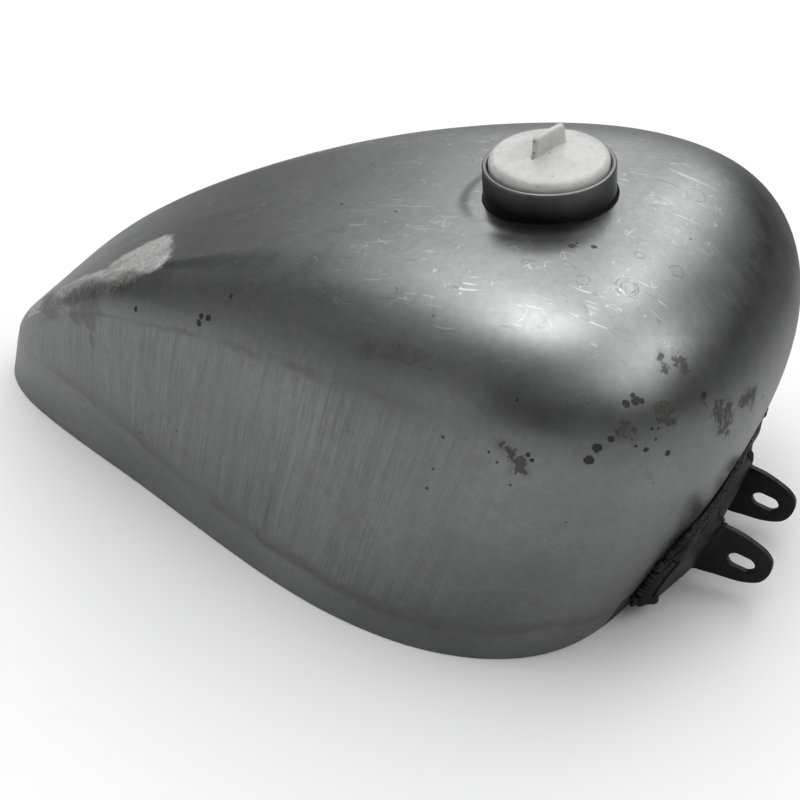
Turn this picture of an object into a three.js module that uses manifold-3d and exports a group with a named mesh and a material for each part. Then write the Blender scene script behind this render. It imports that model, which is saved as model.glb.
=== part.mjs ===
// Small teardrop motorcycle fuel tank: two stamped steel halves over a frame tunnel, closed bottom
// pans, welded filler neck with a screw-in shipping plug, slotted front ears on a cross plate,
// rear tab, fuel valve bung with cap.
// Millimetres. +X forward (wide rounded nose), +Y the left side, +Z up, lower edges on z = 0.
import * as THREE from "three";
import { mergeVertices } from "three/addons/utils/BufferGeometryUtils.js";
import Module from "manifold-3d";

const wasm = await Module();
wasm.setup();
const { clamp, degToRad, lerp, smoothstep } = THREE.MathUtils;

// ---------------------------------------------------------------- driving dimensions
// Body skin: spline control values from tail to nose. Columns: shoulder x and y, lower edge
// x and y, length of the bend down the wall and across the top, x where the section meets the
// middle line, outward bulge of the wall.
const SECTIONS = [
  [0, 0, -5.38, 0, 3.7, 3.81, 21.81, 0],
  [0, 1.69, -5.38, 10.62, 3.7, 3.81, 21.81, 0],
  [9.13, 27.83, 13.1, 36.8, 3.7, 3.81, lerp(21.81, 141.74, 0.4), 0],
  [125.91, 71.25, 120.43, 71.12, 19.12, 15.18, 141.74, 0.83],
  [271.4, 115.65, 253.21, 128.55, 66.25, 62.46, 252.17, 0.83],
  [395.97, 130.13, 351.92, 129.37, 73.46, 82.56, 302.11, 0.83],
  [446.97, 85.79, 392.87, 80.55, 91.14, 101.9, 303.13, 10.6],
  [446.97, 0, 392.87, 0, 91.14, 101.9, 303.13, 10.6],
];
const TOP_LINE = [24.23, 75.95, 121.53, 168.43, 188.71, 180.53, 170.87]; // control heights
const TOP_SPAN = 460; // length the top line's control heights are spread over
const CROWN = 0.9; // drop of the top 100 mm off the middle
const BEND_PULL = 0.62; // handle length of the bend curve, as a share of the bend
const BEND_LIMIT = 0.9; // longest bend, as a share of the wall or the top
const SKIN_T = 1.2;
const SEAM = 0.2; // half of the gap between the two halves
const U_STEPS = 32; // facets tail to nose
const V_STEPS = [4, 6, 4]; // facets of the wall, the bend and the top

// bottom pans, recessed above the lower edges
const PAN_Z = 14;
const PAN_T = 1.2;
const PAN_GAP = 0.9; // to the skin's inside
const PAN_SIDE_GAP = 0.5; // to the tunnel and the middle line

// frame tunnel, half width and roof height at both ends
const TUNNEL_X = 44; // rear end
const TUNNEL_REAR = { halfWidth: 22, height: 27 };
const TUNNEL_FRONT = { halfWidth: 36, height: 74 };
const TUNNEL_T = 1.2;
const TUNNEL_CORNER = 10; // roof corner radius
const TUNNEL_Z = 12.5; // lower edge of its walls
const TUNNEL_GAP = 0.9; // front end to the skin's inside

// filler neck; heights are along its own axis, from the skin
const NECK_X = 320.03;
const NECK_TILT = -2.5; // degrees, negative leans rearward
const NECK_R = 30.9;
const NECK_H = 16.2;
const NECK_BELOW = 8; // length inside the tank
const NECK_BORE = 28.9; // mouth radius
const SEAT_Z = NECK_H - 5.6; // seal seat
const NECK_ROOT = 27.2; // root radius of the inside thread
const NECK_MINOR = 26; // crest radius of the inside thread
const NECK_HOLE_GAP = 0.35; // neck to the hole in the skin

const THREAD = { pitch: 5, rootWidth: 2.4, crestWidth: 0.9, sunk: 0.5, start: -4.5 };

const SEAL_T = 1.6;
const SEAL_Z = SEAT_Z + 0.2;

const PLUG_R = 28.1;
const PLUG_TOP = NECK_H + 4.2;
const PLUG_EDGE = 4; // edge radius
const DISC_Z = SEAT_Z + SEAL_T + 0.5; // underside of the plug's disc
const SKIRT_R = 25;
const SKIRT_Z = DISC_Z - 15;
const SKIRT_INNER_R = SKIRT_R - 2.2;
const PLUG_MAJOR = 26.7; // crest radius of the plug's thread
const PLUG_HOLLOW_Z = PLUG_TOP - 3.2; // roof of the hollow
const FIN = { length: 21, height: 15.1, thickness: 3.8, turn: 71, sunk: 2.8 }; // turn in degrees

// front ears and plates
const EAR_GAP = 50.3; // distance of the ears' middle planes
const EAR_T = 3; // ears and plates
// ear outline, x and z, from the top of the root line round the front to its foot
const EAR = [
  [421.7, 38.2], [431.0, 35.7], [439.4, 31.6], [444.6, 27.8], [447.5, 22.7],
  [446.3, 15.3], [441.6, 9.0], [432.4, 6.7], [420.3, 7.1], [410.0, 6.8],
];
const [ROOT_TOP_X, ROOT_TOP_Z] = EAR[0];
const [ROOT_LOW_X, ROOT_LOW_Z] = EAR.at(-1);
const EAR_SLOT = { x: 432.3, y: 18.8, length: 13.8, width: 8.4, turn: degToRad(-13) };
const FLANGE_Y = 66; // end of the outboard leg
const RETURN_Y = 59; // where the leg starts to turn onto the skin
const RETURN_LEAD = 0.42; // share of its distance to the skin closed before that
const LIP_Z = 48; // height where the upper edge lies on the skin
const LIP_TOP = 50; // upper edge at the middle
const LIP_END = 40.5; // upper edge at the outboard end
const LIP_DROP_Y = 52; // where the upper edge starts to fall
const PLATE_GAP = 0.5; // plate to skin

// rear tab
const TAB_X = 10;
const TAB_W = 24;
const TAB_T = 3;
const TAB_Z = 2.2;
const TAB_ROUND_X = 34; // centre of the rounded front end
const TAB_SLOT = { x: 32.5, y: 0, length: 14.6, width: 8.6, turn: 0 };
const TAB_LEG = { z: 2.7, height: 10.8 };
const TAB_WELD_L = TAB_W - 3;

// fuel valve bung
const BUNG_X = 116;
const BUNG_Y = 47;
const BUNG_R = 11;
const BUNG_HOLE_GAP = 0.4;

// ---------------------------------------------------------------- solid helpers
const unindexed = (g) => (g.index ? g.toNonIndexed() : g.clone());

function geometryOf(positions) {
  const attribute = new THREE.BufferAttribute(new Float32Array(positions), 3);
  return new THREE.BufferGeometry().setAttribute("position", attribute);
}

function toManifold(geometry) {
  const merged = mergeVertices(geometryOf(unindexed(geometry).attributes.position.array), 1e-4);
  return new wasm.Manifold(new wasm.Mesh({
    numProp: 3,
    vertProperties: new Float32Array(merged.attributes.position.array),
    triVerts: new Uint32Array(merged.index.array),
  }));
}

function fromManifold(solid) {
  const mesh = solid.getMesh();
  const index = new THREE.BufferAttribute(new Uint32Array(mesh.triVerts), 1);
  return geometryOf(mesh.vertProperties).setIndex(index);
}

// turns every triangle over
function flipped(geometry) {
  const a = unindexed(geometry).attributes.position.array.slice();
  for (let i = 0; i < a.length; i += 9) {
    for (let k = 0; k < 3; k++) [a[i + 3 + k], a[i + 6 + k]] = [a[i + 6 + k], a[i + 3 + k]];
  }
  return geometryOf(a);
}

const outward = (geometry) => (toManifold(geometry).volume() < 0 ? flipped(geometry) : geometry);
const mirrored = (geometry) => flipped(unindexed(geometry).scale(1, -1, 1));
const cut = (body, tool) => fromManifold(toManifold(body).subtract(toManifold(tool)));

function join(first, ...rest) {
  return fromManifold(rest.reduce((sum, g) => sum.add(toManifold(g)), toManifold(first)));
}

// collects triangles and four-cornered faces of a solid
function faceList() {
  const positions = [];
  const tri = (a, b, c) => positions.push(...a, ...b, ...c);
  const quad = (a, b, c, d) => {
    tri(a, b, c);
    tri(a, c, d);
  };
  return { tri, quad, solid: () => outward(geometryOf(positions)) };
}

// solid through rings of equal length: flat fans on both ends, or closed into a loop
function loft(rings, loop = false) {
  const { tri, quad, solid } = faceList();
  const n = rings[0].length;
  const bands = loop ? rings.length : rings.length - 1;
  for (let i = 0; i < bands; i++) {
    const ring = rings[i];
    const next = rings[(i + 1) % rings.length];
    for (let j = 0; j < n; j++) {
      const k = (j + 1) % n;
      quad(ring[j], next[j], next[k], ring[k]);
    }
  }
  if (!loop) {
    const start = rings[0];
    const end = rings.at(-1);
    for (let j = 1; j + 1 < n; j++) {
      tri(start[0], start[j], start[j + 1]);
      tri(end[0], end[j + 1], end[j]);
    }
  }
  return solid();
}

// closed sheet between two grids of points of the same size
function sheet(A, B) {
  const { quad, solid } = faceList();
  const n = A.length - 1;
  const m = A[0].length - 1;
  for (let i = 0; i < n; i++) {
    for (let j = 0; j < m; j++) {
      quad(A[i][j], A[i + 1][j], A[i + 1][j + 1], A[i][j + 1]);
      quad(B[i][j], B[i][j + 1], B[i + 1][j + 1], B[i + 1][j]);
    }
    quad(A[i][0], B[i][0], B[i + 1][0], A[i + 1][0]);
    quad(A[i][m], A[i + 1][m], B[i + 1][m], B[i][m]);
  }
  for (let j = 0; j < m; j++) {
    quad(A[0][j], A[0][j + 1], B[0][j + 1], B[0][j]);
    quad(A[n][j], B[n][j], B[n][j + 1], A[n][j + 1]);
  }
  return solid();
}

// turned solid about the z axis from [radius, z] points
function lathe(profile, segments = 40) {
  const points = profile.map(([r, z]) => new THREE.Vector2(r, z));
  return outward(new THREE.LatheGeometry(points, segments).rotateX(Math.PI / 2));
}

// outline in x and y, extruded up from z = 0
function prism(outline, depth, holes = []) {
  const vectors = (points) => points.map(([x, y]) => new THREE.Vector2(x, y));
  const shape = new THREE.Shape(vectors(outline));
  shape.holes = holes.map((hole) => new THREE.Path(vectors(hole)));
  return outward(new THREE.ExtrudeGeometry(shape, { depth, bevelEnabled: false }));
}

// outline in x and z, extruded along y, half of the thickness on each side of middleY
function uprightPrism(outline, thickness, middleY, holes) {
  return prism(outline, thickness, holes)
    .rotateX(Math.PI / 2)
    .translate(0, middleY + thickness / 2, 0);
}

// ---------------------------------------------------------------- curve helpers
// n + 1 values of make(share, index), the share running from 0 to 1
const steps = (n, make) => Array.from({ length: n + 1 }, (_, i) => make(i / n, i));
const ramp = (x, from, to) => clamp((x - from) / (to - from), 0, 1);

const arc = (cx, cy, r, from, to, n) => steps(n, (t) => {
  const angle = lerp(from, to, t);
  return [cx + r * Math.cos(angle), cy + r * Math.sin(angle)];
});
const circle = (cx, cy, r, n) => arc(cx, cy, r, 0, 2 * Math.PI, n).slice(0, n);

// slot with round ends, turned about its centre
function slotOutline({ x, y, length, width, turn }) {
  const reach = (length - width) / 2;
  return [1, -1].flatMap((side) => {
    const cx = x + side * reach * Math.cos(turn);
    const cy = y + side * reach * Math.sin(turn);
    const from = turn - (side * Math.PI) / 2;
    return arc(cx, cy, width / 2, from, from + Math.PI, 8);
  });
}

// clamped cubic B-spline of plain numbers with even knots
function bspline(controls, t) {
  const spans = controls.length - 3;
  const knot = (i) => clamp(i - 3, 0, spans) / spans;
  const at = clamp(t, 0, 1 - 1e-9);
  let span = 3;
  while (knot(span + 1) <= at) span++;
  const d = controls.slice(span - 3, span + 1);
  for (let level = 1; level <= 3; level++) {
    for (let k = 3; k >= level; k--) {
      const low = knot(span - 3 + k);
      const high = knot(span + 1 + k - level);
      d[k] = lerp(d[k - 1], d[k], (at - low) / (high - low));
    }
  }
  return d[3];
}

function bezier(points, t) {
  if (points.length === 1) return points[0];
  return bezier(points.slice(1).map((p, i) => points[i].clone().lerp(p, t)), t);
}

// ---------------------------------------------------------------- body skin
const SECTION_COLUMNS = SECTIONS[0].map((_, k) => SECTIONS.map((row) => row[k]));
const topZ = (x, y) => bspline(TOP_LINE, x / TOP_SPAN) - CROWN * (y / 100) ** 2;

// outer skin of the left side; u runs tail to nose, v from 0 at the lower edge over the wall,
// the bend at 1 to 2, to 3 on the middle line
function skinPoint(u, v) {
  const [shoulderX, shoulderY, lowerX, lowerY, down, across, meetX, bulge] =
    SECTION_COLUMNS.map((column) => bspline(column, u));
  const lower = new THREE.Vector3(lowerX, lowerY, 0);
  const shoulder = new THREE.Vector3(shoulderX, shoulderY, topZ(shoulderX, shoulderY));
  const inward = new THREE.Vector2(meetX - shoulderX, -shoulderY);
  const topLength = inward.length();
  inward.normalize();
  const wallLength = shoulder.distanceTo(lower);
  const bendTop = Math.min(across, BEND_LIMIT * topLength);
  const bendWall = Math.min(down, BEND_LIMIT * wallLength);

  const middle = lower.clone().lerp(shoulder, 0.5);
  middle.x -= inward.x * bulge * 2;
  middle.y -= inward.y * bulge * 2;
  const wallEnd = 1 - bendWall / wallLength;
  const wall = (t) => bezier([lower, middle, shoulder], t);
  const top = (distance) => {
    const x = shoulderX + inward.x * distance;
    const y = shoulderY + inward.y * distance;
    return new THREE.Vector3(x, y, topZ(x, y));
  };
  if (v <= 1) return wall(wallEnd * v);
  if (v >= 2) return top(lerp(bendTop, topLength, v - 2));

  const start = wall(wallEnd);
  const end = top(bendTop);
  const legs = [middle.clone().sub(lower), shoulder.clone().sub(middle)];
  const startSlope = bezier(legs, wallEnd).normalize();
  const endSlope = top(bendTop + 0.5).sub(top(bendTop - 0.5)).normalize();
  const startHandle = start.clone().addScaledVector(startSlope, BEND_PULL * bendWall);
  const endHandle = end.clone().addScaledVector(endSlope, -BEND_PULL * bendTop);
  return bezier([start, startHandle, endHandle, end], v - 1);
}

function makeHalfSkin() {
  const vs = V_STEPS.flatMap((n, zone) => steps(n, (t) => zone + t).slice(0, n));
  vs.push(V_STEPS.length);
  const lastJ = vs.length - 1;
  const onMiddle = (i, j) => i === 0 || i === U_STEPS || j === lastJ;
  const outer = steps(U_STEPS, (u) => vs.map((v) => skinPoint(u, v)));
  const inner = outer.map((row, i) => row.map((p, j) => {
    const along = outer[Math.min(i + 1, U_STEPS)][j].clone().sub(outer[Math.max(i - 1, 0)][j]);
    const normal = row[Math.min(j + 1, lastJ)].clone().sub(row[Math.max(j - 1, 0)]).cross(along);
    if (j === 0) normal.z = 0;
    if (onMiddle(i, j)) normal.y = 0;
    return p.clone().addScaledVector(normal.normalize(), -SKIN_T);
  }));
  // edges set exactly on the middle plane and z = 0, then the half moved out by the seam
  const squared = (grid) => grid.map((row, i) => row.map((p, j) => [
    p.x,
    (onMiddle(i, j) ? 0 : p.y) + SEAM,
    j === 0 ? 0 : p.z,
  ]));
  return sheet(squared(outer), squared(inner));
}

// forward x of the nose skin at a side distance and a height
const NOSE_ROWS = steps(60, (s) => steps(30, (t) => skinPoint(0.62 + 0.38 * s, 2 * t)));
function noseX(y, z) {
  const plan = NOSE_ROWS.map((row) => {
    const j = row.findIndex((p, k) => k > 0 && p.z >= z);
    if (j < 0) return row.at(-1);
    const below = row[j - 1];
    return below.clone().lerp(row[j], (z - below.z) / (row[j].z - below.z));
  });
  for (let i = plan.length - 1; i > 0; i--) {
    const ahead = plan[i];
    const behind = plan[i - 1];
    if (behind.y >= y) return lerp(ahead.x, behind.x, (y - ahead.y) / (behind.y - ahead.y));
  }
  return plan[0].x;
}

// ---------------------------------------------------------------- filler neck, seal and plug
// moves a solid from the neck's own frame into the tank's
function onNeck(geometry) {
  return geometry.rotateY(degToRad(NECK_TILT)).translate(NECK_X, 0, topZ(NECK_X, 0));
}

// thread ridge, fading in and out over four steps at its ends
function thread(rootR, crestR, startZ, turns) {
  const perTurn = 20;
  const n = Math.round(perTurn * turns);
  return loft(steps(n, (_, i) => {
    const fade = Math.min(1, i / 4, (n - i) / 4);
    const angle = (2 * Math.PI * i) / perTurn;
    const z = startZ + (THREAD.pitch * i) / perTurn;
    const tipR = lerp(rootR, crestR, 0.06 + 0.94 * fade);
    const point = (r, h) => [r * Math.cos(angle), r * Math.sin(angle), z + h];
    return [
      point(rootR, -THREAD.rootWidth / 2),
      point(rootR, THREAD.rootWidth / 2),
      point(tipR, THREAD.crestWidth / 2),
      point(tipR, -THREAD.crestWidth / 2),
    ];
  }));
}

function makeNeck() {
  const body = lathe([
    [NECK_R, -NECK_BELOW], [NECK_R, NECK_H - 1.4], [NECK_R - 0.45, NECK_H - 0.4],
    [NECK_R - 1.35, NECK_H], [NECK_BORE + 0.4, NECK_H - 0.4], [NECK_BORE, NECK_H - 1.4],
    [NECK_BORE, SEAT_Z], [NECK_ROOT, SEAT_Z], [NECK_ROOT, -NECK_BELOW], [NECK_R, -NECK_BELOW],
  ]);
  return onNeck(join(body, thread(NECK_ROOT + THREAD.sunk, NECK_MINOR, THREAD.start, 2.2)));
}

function makeNeckHole() {
  const r = NECK_R + NECK_HOLE_GAP;
  return onNeck(lathe([[0, -40], [r, -40], [r, 30], [0, 30]], 48));
}

function makeSeal() {
  const outerR = NECK_BORE - 0.5;
  const innerR = NECK_ROOT - 0.4;
  const top = SEAL_Z + SEAL_T;
  const profile = [[outerR, SEAL_Z], [outerR, top], [innerR, top], [innerR, SEAL_Z]];
  return onNeck(lathe([...profile, profile[0]]));
}

function makeFin() {
  const end = FIN.length / 2;
  const side = [
    [end, 0], [end, FIN.height - 1.6], [end - 0.5, FIN.height - 0.6], [end - 1.6, FIN.height],
  ];
  const otherSide = side.map(([x, z]) => [-x, z]).reverse();
  return uprightPrism([...side, ...otherSide], FIN.thickness, 0)
    .rotateZ(degToRad(FIN.turn))
    .translate(0, 0, PLUG_TOP - FIN.sunk);
}

function makePlug() {
  const body = lathe([
    [0, PLUG_TOP + 1.7], [10, PLUG_TOP + 1.45], [18, PLUG_TOP + 0.8], // low dome
    ...arc(PLUG_R - PLUG_EDGE, PLUG_TOP - PLUG_EDGE, PLUG_EDGE, Math.PI / 2, 0, 4),
    [PLUG_R, DISC_Z], [SKIRT_R, DISC_Z], [SKIRT_R, SKIRT_Z + 1], [SKIRT_R - 0.8, SKIRT_Z],
    [SKIRT_INNER_R, SKIRT_Z], [SKIRT_INNER_R, PLUG_HOLLOW_Z], [0, PLUG_HOLLOW_Z],
  ]);
  const threadZ = THREAD.start + 1.5 * THREAD.pitch; // turns lie between the neck's
  return onNeck(join(body, makeFin(), thread(SKIRT_R - THREAD.sunk, PLUG_MAJOR, threadZ, 1.8)));
}

// low weld run round the foot of the neck, lifted clear of the skin's facets
function makeNeckWeld() {
  const lift = 0.4;
  // distance outside the neck, height
  const profile = [[0.45, 0], [0.45, 2.2], [1.6, 1.7], [2.9, 0]];
  const rings = circle(0, 0, 1, 32).map(([cos, sin]) => profile.map(([out, height]) => {
    const x = NECK_X + (NECK_R + out) * cos;
    const y = (NECK_R + out) * sin;
    return [x, y, topZ(x, y) + lift + height];
  }));
  return loft(rings, true);
}

// ---------------------------------------------------------------- frame tunnel
// inverted channel, open below, closed at both ends
const tunnelFrontX = (y, z) => noseX(Math.abs(y), z) - SKIN_T - TUNNEL_GAP;

function tunnelBlock(inset, lowZ) {
  const ring = (end, xAt) => {
    const w = end.halfWidth - inset;
    const h = end.height - inset;
    const r = TUNNEL_CORNER - inset;
    return [
      [-w, lowZ],
      ...arc(-w + r, h - r, r, Math.PI, Math.PI / 2, 4),
      ...arc(w - r, h - r, r, Math.PI / 2, 0, 4),
      [w, lowZ],
    ].map(([y, z]) => [xAt(y, z), y, z]);
  };
  return loft([
    ring(TUNNEL_REAR, () => TUNNEL_X + inset),
    ring(TUNNEL_FRONT, (y, z) => tunnelFrontX(y, z) - inset),
  ]);
}

const makeTunnel = () => cut(tunnelBlock(0, TUNNEL_Z), tunnelBlock(TUNNEL_T, TUNNEL_Z - 5));

// ---------------------------------------------------------------- bottom pans
// point of the outer skin below the top at a height
function wallAt(u, z) {
  let low = 0;
  let high = 1.999;
  for (let k = 0; k < 40; k++) {
    const v = (low + high) / 2;
    if (skinPoint(u, v).z < z) low = v;
    else high = v;
  }
  return skinPoint(u, low);
}

// left pan in plan: inside the skin, outside the tunnel, up to the middle line behind it
function panOutline() {
  const frontX = tunnelFrontX(TUNNEL_FRONT.halfWidth, TUNNEL_Z);
  const besideTunnel = (x) => PAN_SIDE_GAP
    + lerp(TUNNEL_REAR.halfWidth, TUNNEL_FRONT.halfWidth, ramp(x, TUNNEL_X, frontX));
  const rearX = TUNNEL_X - PAN_SIDE_GAP;
  const inset = SKIN_T + PAN_GAP;
  const rim = steps(48, (u) => wallAt(u, PAN_Z + PAN_T / 2));
  const edge = rim.map((p, i) => {
    const ahead = rim[Math.min(i + 1, rim.length - 1)];
    const along = ahead.clone().sub(rim[Math.max(i - 1, 0)]).setZ(0).normalize();
    return [p.x + along.y * inset, p.y - along.x * inset];
  }).filter(([x, y]) => y > (x < rearX ? PAN_SIDE_GAP : besideTunnel(x)));
  const lastX = edge.at(-1)[0];
  return [
    [edge[0][0], PAN_SIDE_GAP],
    ...edge,
    [lastX, besideTunnel(lastX)],
    [rearX, TUNNEL_REAR.halfWidth + PAN_SIDE_GAP],
    [rearX, PAN_SIDE_GAP],
  ];
}

const makeLeftPan = (holes) => prism(panOutline(), PAN_T, holes).translate(0, 0, PAN_Z);

// ---------------------------------------------------------------- front plates and ears
function lipTop(y) {
  return lerp(LIP_TOP, LIP_END, ramp(Math.abs(y), LIP_DROP_Y, FLANGE_Y));
}

// the plates' back face: straight across the middle, the outboard legs coming closer to the
// skin and turning onto it at their ends, the upper edge leaning back until it lies on the skin
function plateX(y, z) {
  const side = Math.abs(y);
  const earY = EAR_GAP / 2;
  const rootZ = Math.min(z, ROOT_TOP_Z);
  const rootShare = (rootZ - ROOT_LOW_Z) / (ROOT_TOP_Z - ROOT_LOW_Z);
  const rootX = lerp(ROOT_LOW_X, ROOT_TOP_X, rootShare) - EAR_T;
  const standOff = Math.max(0, rootX - noseX(Math.min(side, earY), rootZ) - PLATE_GAP);
  const closing = RETURN_LEAD * ramp(side, earY, RETURN_Y)
    + (1 - RETURN_LEAD) * smoothstep(side, RETURN_Y, FLANGE_Y);
  const lean = smoothstep(z, ROOT_TOP_Z, LIP_Z);
  return noseX(side, z) + PLATE_GAP + standOff * (1 - closing) * (1 - lean);
}

// plate through stations across the tank, from a lower edge up to the lip
function plate(stations, lowZ) {
  const back = stations.map((y) => steps(8, (t) => {
    const z = lerp(lowZ, lipTop(y), t);
    return [plateX(y, z), y, z];
  }));
  return sheet(back, back.map((row) => row.map(([x, y, z]) => [x + EAR_T, y, z])));
}

function makeCrossPlate() {
  const reach = EAR_GAP / 2 - EAR_T / 2 - 0.4;
  return plate([-1, -0.67, -0.33, 0, 0.33, 0.67, 1].map((t) => t * reach), ROOT_LOW_Z);
}

// slotted ear with its root buried in the outboard leg
function makeLeftEar() {
  const earY = EAR_GAP / 2;
  const root = steps(4, (t) => {
    const z = lerp(ROOT_LOW_Z, ROOT_TOP_Z, t);
    return [plateX(earY, z) + 0.4, z];
  });
  const ear = uprightPrism([...EAR, ...root], EAR_T, earY, [slotOutline(EAR_SLOT)]);
  const innerY = earY + EAR_T / 2 - 1.2;
  const stations = [innerY, 32, 39, 46, 53, RETURN_Y, 61.5, 64, FLANGE_Y];
  return join(ear, plate(stations, ROOT_LOW_Z + 4));
}

// uneven weld run along the upper edge of the plates, left of the middle
function makeLeftWeld() {
  return loft(steps(22, (t, i) => {
    const y = lerp(0.6, FLANGE_Y - 1, t);
    const z = lipTop(y) + 0.2;
    const size = 1.9 * (1 + 0.16 * Math.sin(i * 2.4));
    // height where the skin is taken, distance forward of it, height of the point
    const point = (skinUp, forward, up) =>
      [noseX(y, z + skinUp) + PLATE_GAP + 0.2 + forward, y, z + 0.4 + up];
    return [
      point(0.4, 0, 0),
      point(0.4 + 1.5 * size, 0, 1.5 * size),
      point(1.5 * size, 0.9 * size, 1.2 * size),
      point(size, 1.3 * size, 0.3 * size),
      point(0.4, size, 0),
    ];
  }));
}

// ---------------------------------------------------------------- rear tab
// level slotted tongue under the tail, with an upright leg close under the pans
function makeRearTab() {
  const side = TAB_W / 2;
  const tongue = prism([
    [TAB_X, -side],
    ...arc(TAB_ROUND_X, 0, side, -Math.PI / 2, Math.PI / 2, 10),
    [TAB_X, side],
  ], TAB_T, [slotOutline(TAB_SLOT)]).translate(0, 0, TAB_Z);
  const front = TAB_X + TAB_T;
  const leg = prism([[TAB_X, -side], [front, -side], [front, side], [TAB_X, side]], TAB_LEG.height)
    .translate(0, 0, TAB_LEG.z);
  return join(tongue, leg);
}

// fillet across the front of the leg, at its top
function makeTabWeld() {
  return uprightPrism([[0, 0], [3.2, 0], [2.2, -1.4], [0, -3.2]], TAB_WELD_L, 0)
    .translate(TAB_X + TAB_T + 0.4, 0, PAN_Z - 0.4);
}

// ---------------------------------------------------------------- fuel valve bung and its cap
const atBung = (profile) => lathe(profile, 24).translate(BUNG_X, BUNG_Y, 0);

// sleeve with a flange above the pan
const makeBung = () => atBung([
  [BUNG_R, 3.6], [BUNG_R, 15.49], [14.5, 15.5], [14.5, 18],
  [8, 18], [8, 3], [BUNG_R - 0.8, 3], [BUNG_R, 3.6],
]);

// cup over the bung's lower end
const makeBungCap = () => atBung([
  [0, 1], [12.4, 1], [12.8, 1.4], [12.8, 13.2], [11.4, 13.2], [11.4, 2.4], [0, 2.4],
]);

// ---------------------------------------------------------------- the part
const SKIN_STEEL = { color: 0x9a9c9b, roughness: 0.42, metalness: 0.9 };
const TUNNEL_STEEL = { color: 0x7d7f7e, roughness: 0.5, metalness: 0.9 };
const PAN_STEEL = { color: 0x858786, roughness: 0.5, metalness: 0.9 };
const NECK_STEEL = { color: 0x5a5c5c, roughness: 0.4, metalness: 0.9 };
const TAB_STEEL = { color: 0x6a6c6b, roughness: 0.5, metalness: 0.8 };
const BUNG_STEEL = { color: 0x8f8f8c, roughness: 0.4, metalness: 0.9 };
const BARE_WELD = { color: 0x4c4c4c, roughness: 0.6, metalness: 0.8 };
const BLACK_PLATE = { color: 0x242424, roughness: 0.6, metalness: 0.4 };
const BLACK_WELD = { color: 0x2c2c2c, roughness: 0.6, metalness: 0.5 };
const BLACK_SEAL = { color: 0x1c1c1c, roughness: 0.8, metalness: 0 };
const WHITE_PLUG = { color: 0xd8d8d4, roughness: 0.5, metalness: 0 };
const RED_CAP = { color: 0xb3261e, roughness: 0.5, metalness: 0 };

const halfSkin = makeHalfSkin();
const neckHole = makeNeckHole();
const bungHole = circle(BUNG_X, BUNG_Y, BUNG_R + BUNG_HOLE_GAP, 24);
const leftEar = makeLeftEar();
const leftWeld = makeLeftWeld();

const part = new THREE.Group();
part.name = "fuel_tank";
for (const [name, geometry, finish] of [
  ["left_half", cut(halfSkin, neckHole), SKIN_STEEL],
  ["right_half", cut(mirrored(halfSkin), neckHole), SKIN_STEEL],
  ["frame_tunnel", makeTunnel(), TUNNEL_STEEL],
  ["left_bottom_pan", makeLeftPan([bungHole]), PAN_STEEL],
  ["right_bottom_pan", mirrored(makeLeftPan([])), PAN_STEEL],
  ["filler_neck", makeNeck(), NECK_STEEL],
  ["neck_weld", makeNeckWeld(), BARE_WELD],
  ["neck_seal", makeSeal(), BLACK_SEAL],
  ["shipping_plug", makePlug(), WHITE_PLUG],
  ["right_ear_bracket", mirrored(leftEar), BLACK_PLATE],
  ["left_ear_bracket", leftEar, BLACK_PLATE],
  ["front_cross_plate", makeCrossPlate(), BLACK_PLATE],
  ["right_bracket_weld", mirrored(leftWeld), BLACK_WELD],
  ["left_bracket_weld", leftWeld, BLACK_WELD],
  ["rear_tab", makeRearTab(), TAB_STEEL],
  ["rear_tab_weld", makeTabWeld(), BARE_WELD],
  ["fuel_valve_bung", makeBung(), BUNG_STEEL],
  ["fuel_valve_bung_cap", makeBungCap(), RED_CAP],
]) {
  const mesh = new THREE.Mesh(geometry, new THREE.MeshStandardMaterial(finish));
  mesh.name = name;
  part.add(mesh);
}

// origin under the middle of the outline
const box = new THREE.Box3().setFromObject(part);
part.position.set(-(box.min.x + box.max.x) / 2, 0, -box.min.z);
export default part;
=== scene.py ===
# Small teardrop motorcycle fuel tank: raw pressed steel halves, filler neck with a screw-in shipping
# plug, black front ear brackets, rear tab, frame tunnel, bottom pans and a fuel valve bung.
# Shapes are drawn in mm in the body frame: x forward from the tail, +y left, z up from the lower
# edge. The row frame, in metres, is the CAD's: the body frame moved along x by SHIFT.
import bpy
import math
from functools import lru_cache, reduce
import numpy as np
from mathutils import Vector, Matrix
from mathutils.geometry import delaunay_2d_cdt


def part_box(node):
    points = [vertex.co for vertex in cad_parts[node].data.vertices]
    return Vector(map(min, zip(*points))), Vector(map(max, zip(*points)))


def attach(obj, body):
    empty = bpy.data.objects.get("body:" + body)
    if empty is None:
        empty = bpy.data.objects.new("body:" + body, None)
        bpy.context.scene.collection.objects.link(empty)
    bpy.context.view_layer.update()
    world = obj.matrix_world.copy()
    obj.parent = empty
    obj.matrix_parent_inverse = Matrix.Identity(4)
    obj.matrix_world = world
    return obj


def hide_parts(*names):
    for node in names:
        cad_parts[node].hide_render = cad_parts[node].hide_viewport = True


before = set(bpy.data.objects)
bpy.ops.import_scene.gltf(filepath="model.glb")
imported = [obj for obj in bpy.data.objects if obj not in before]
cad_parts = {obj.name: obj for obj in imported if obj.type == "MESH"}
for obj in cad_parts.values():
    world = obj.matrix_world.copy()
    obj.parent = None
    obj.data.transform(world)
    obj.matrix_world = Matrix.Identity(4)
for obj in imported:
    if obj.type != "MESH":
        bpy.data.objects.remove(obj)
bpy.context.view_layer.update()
MM = 0.001
SCENE = bpy.context.scene

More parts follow.
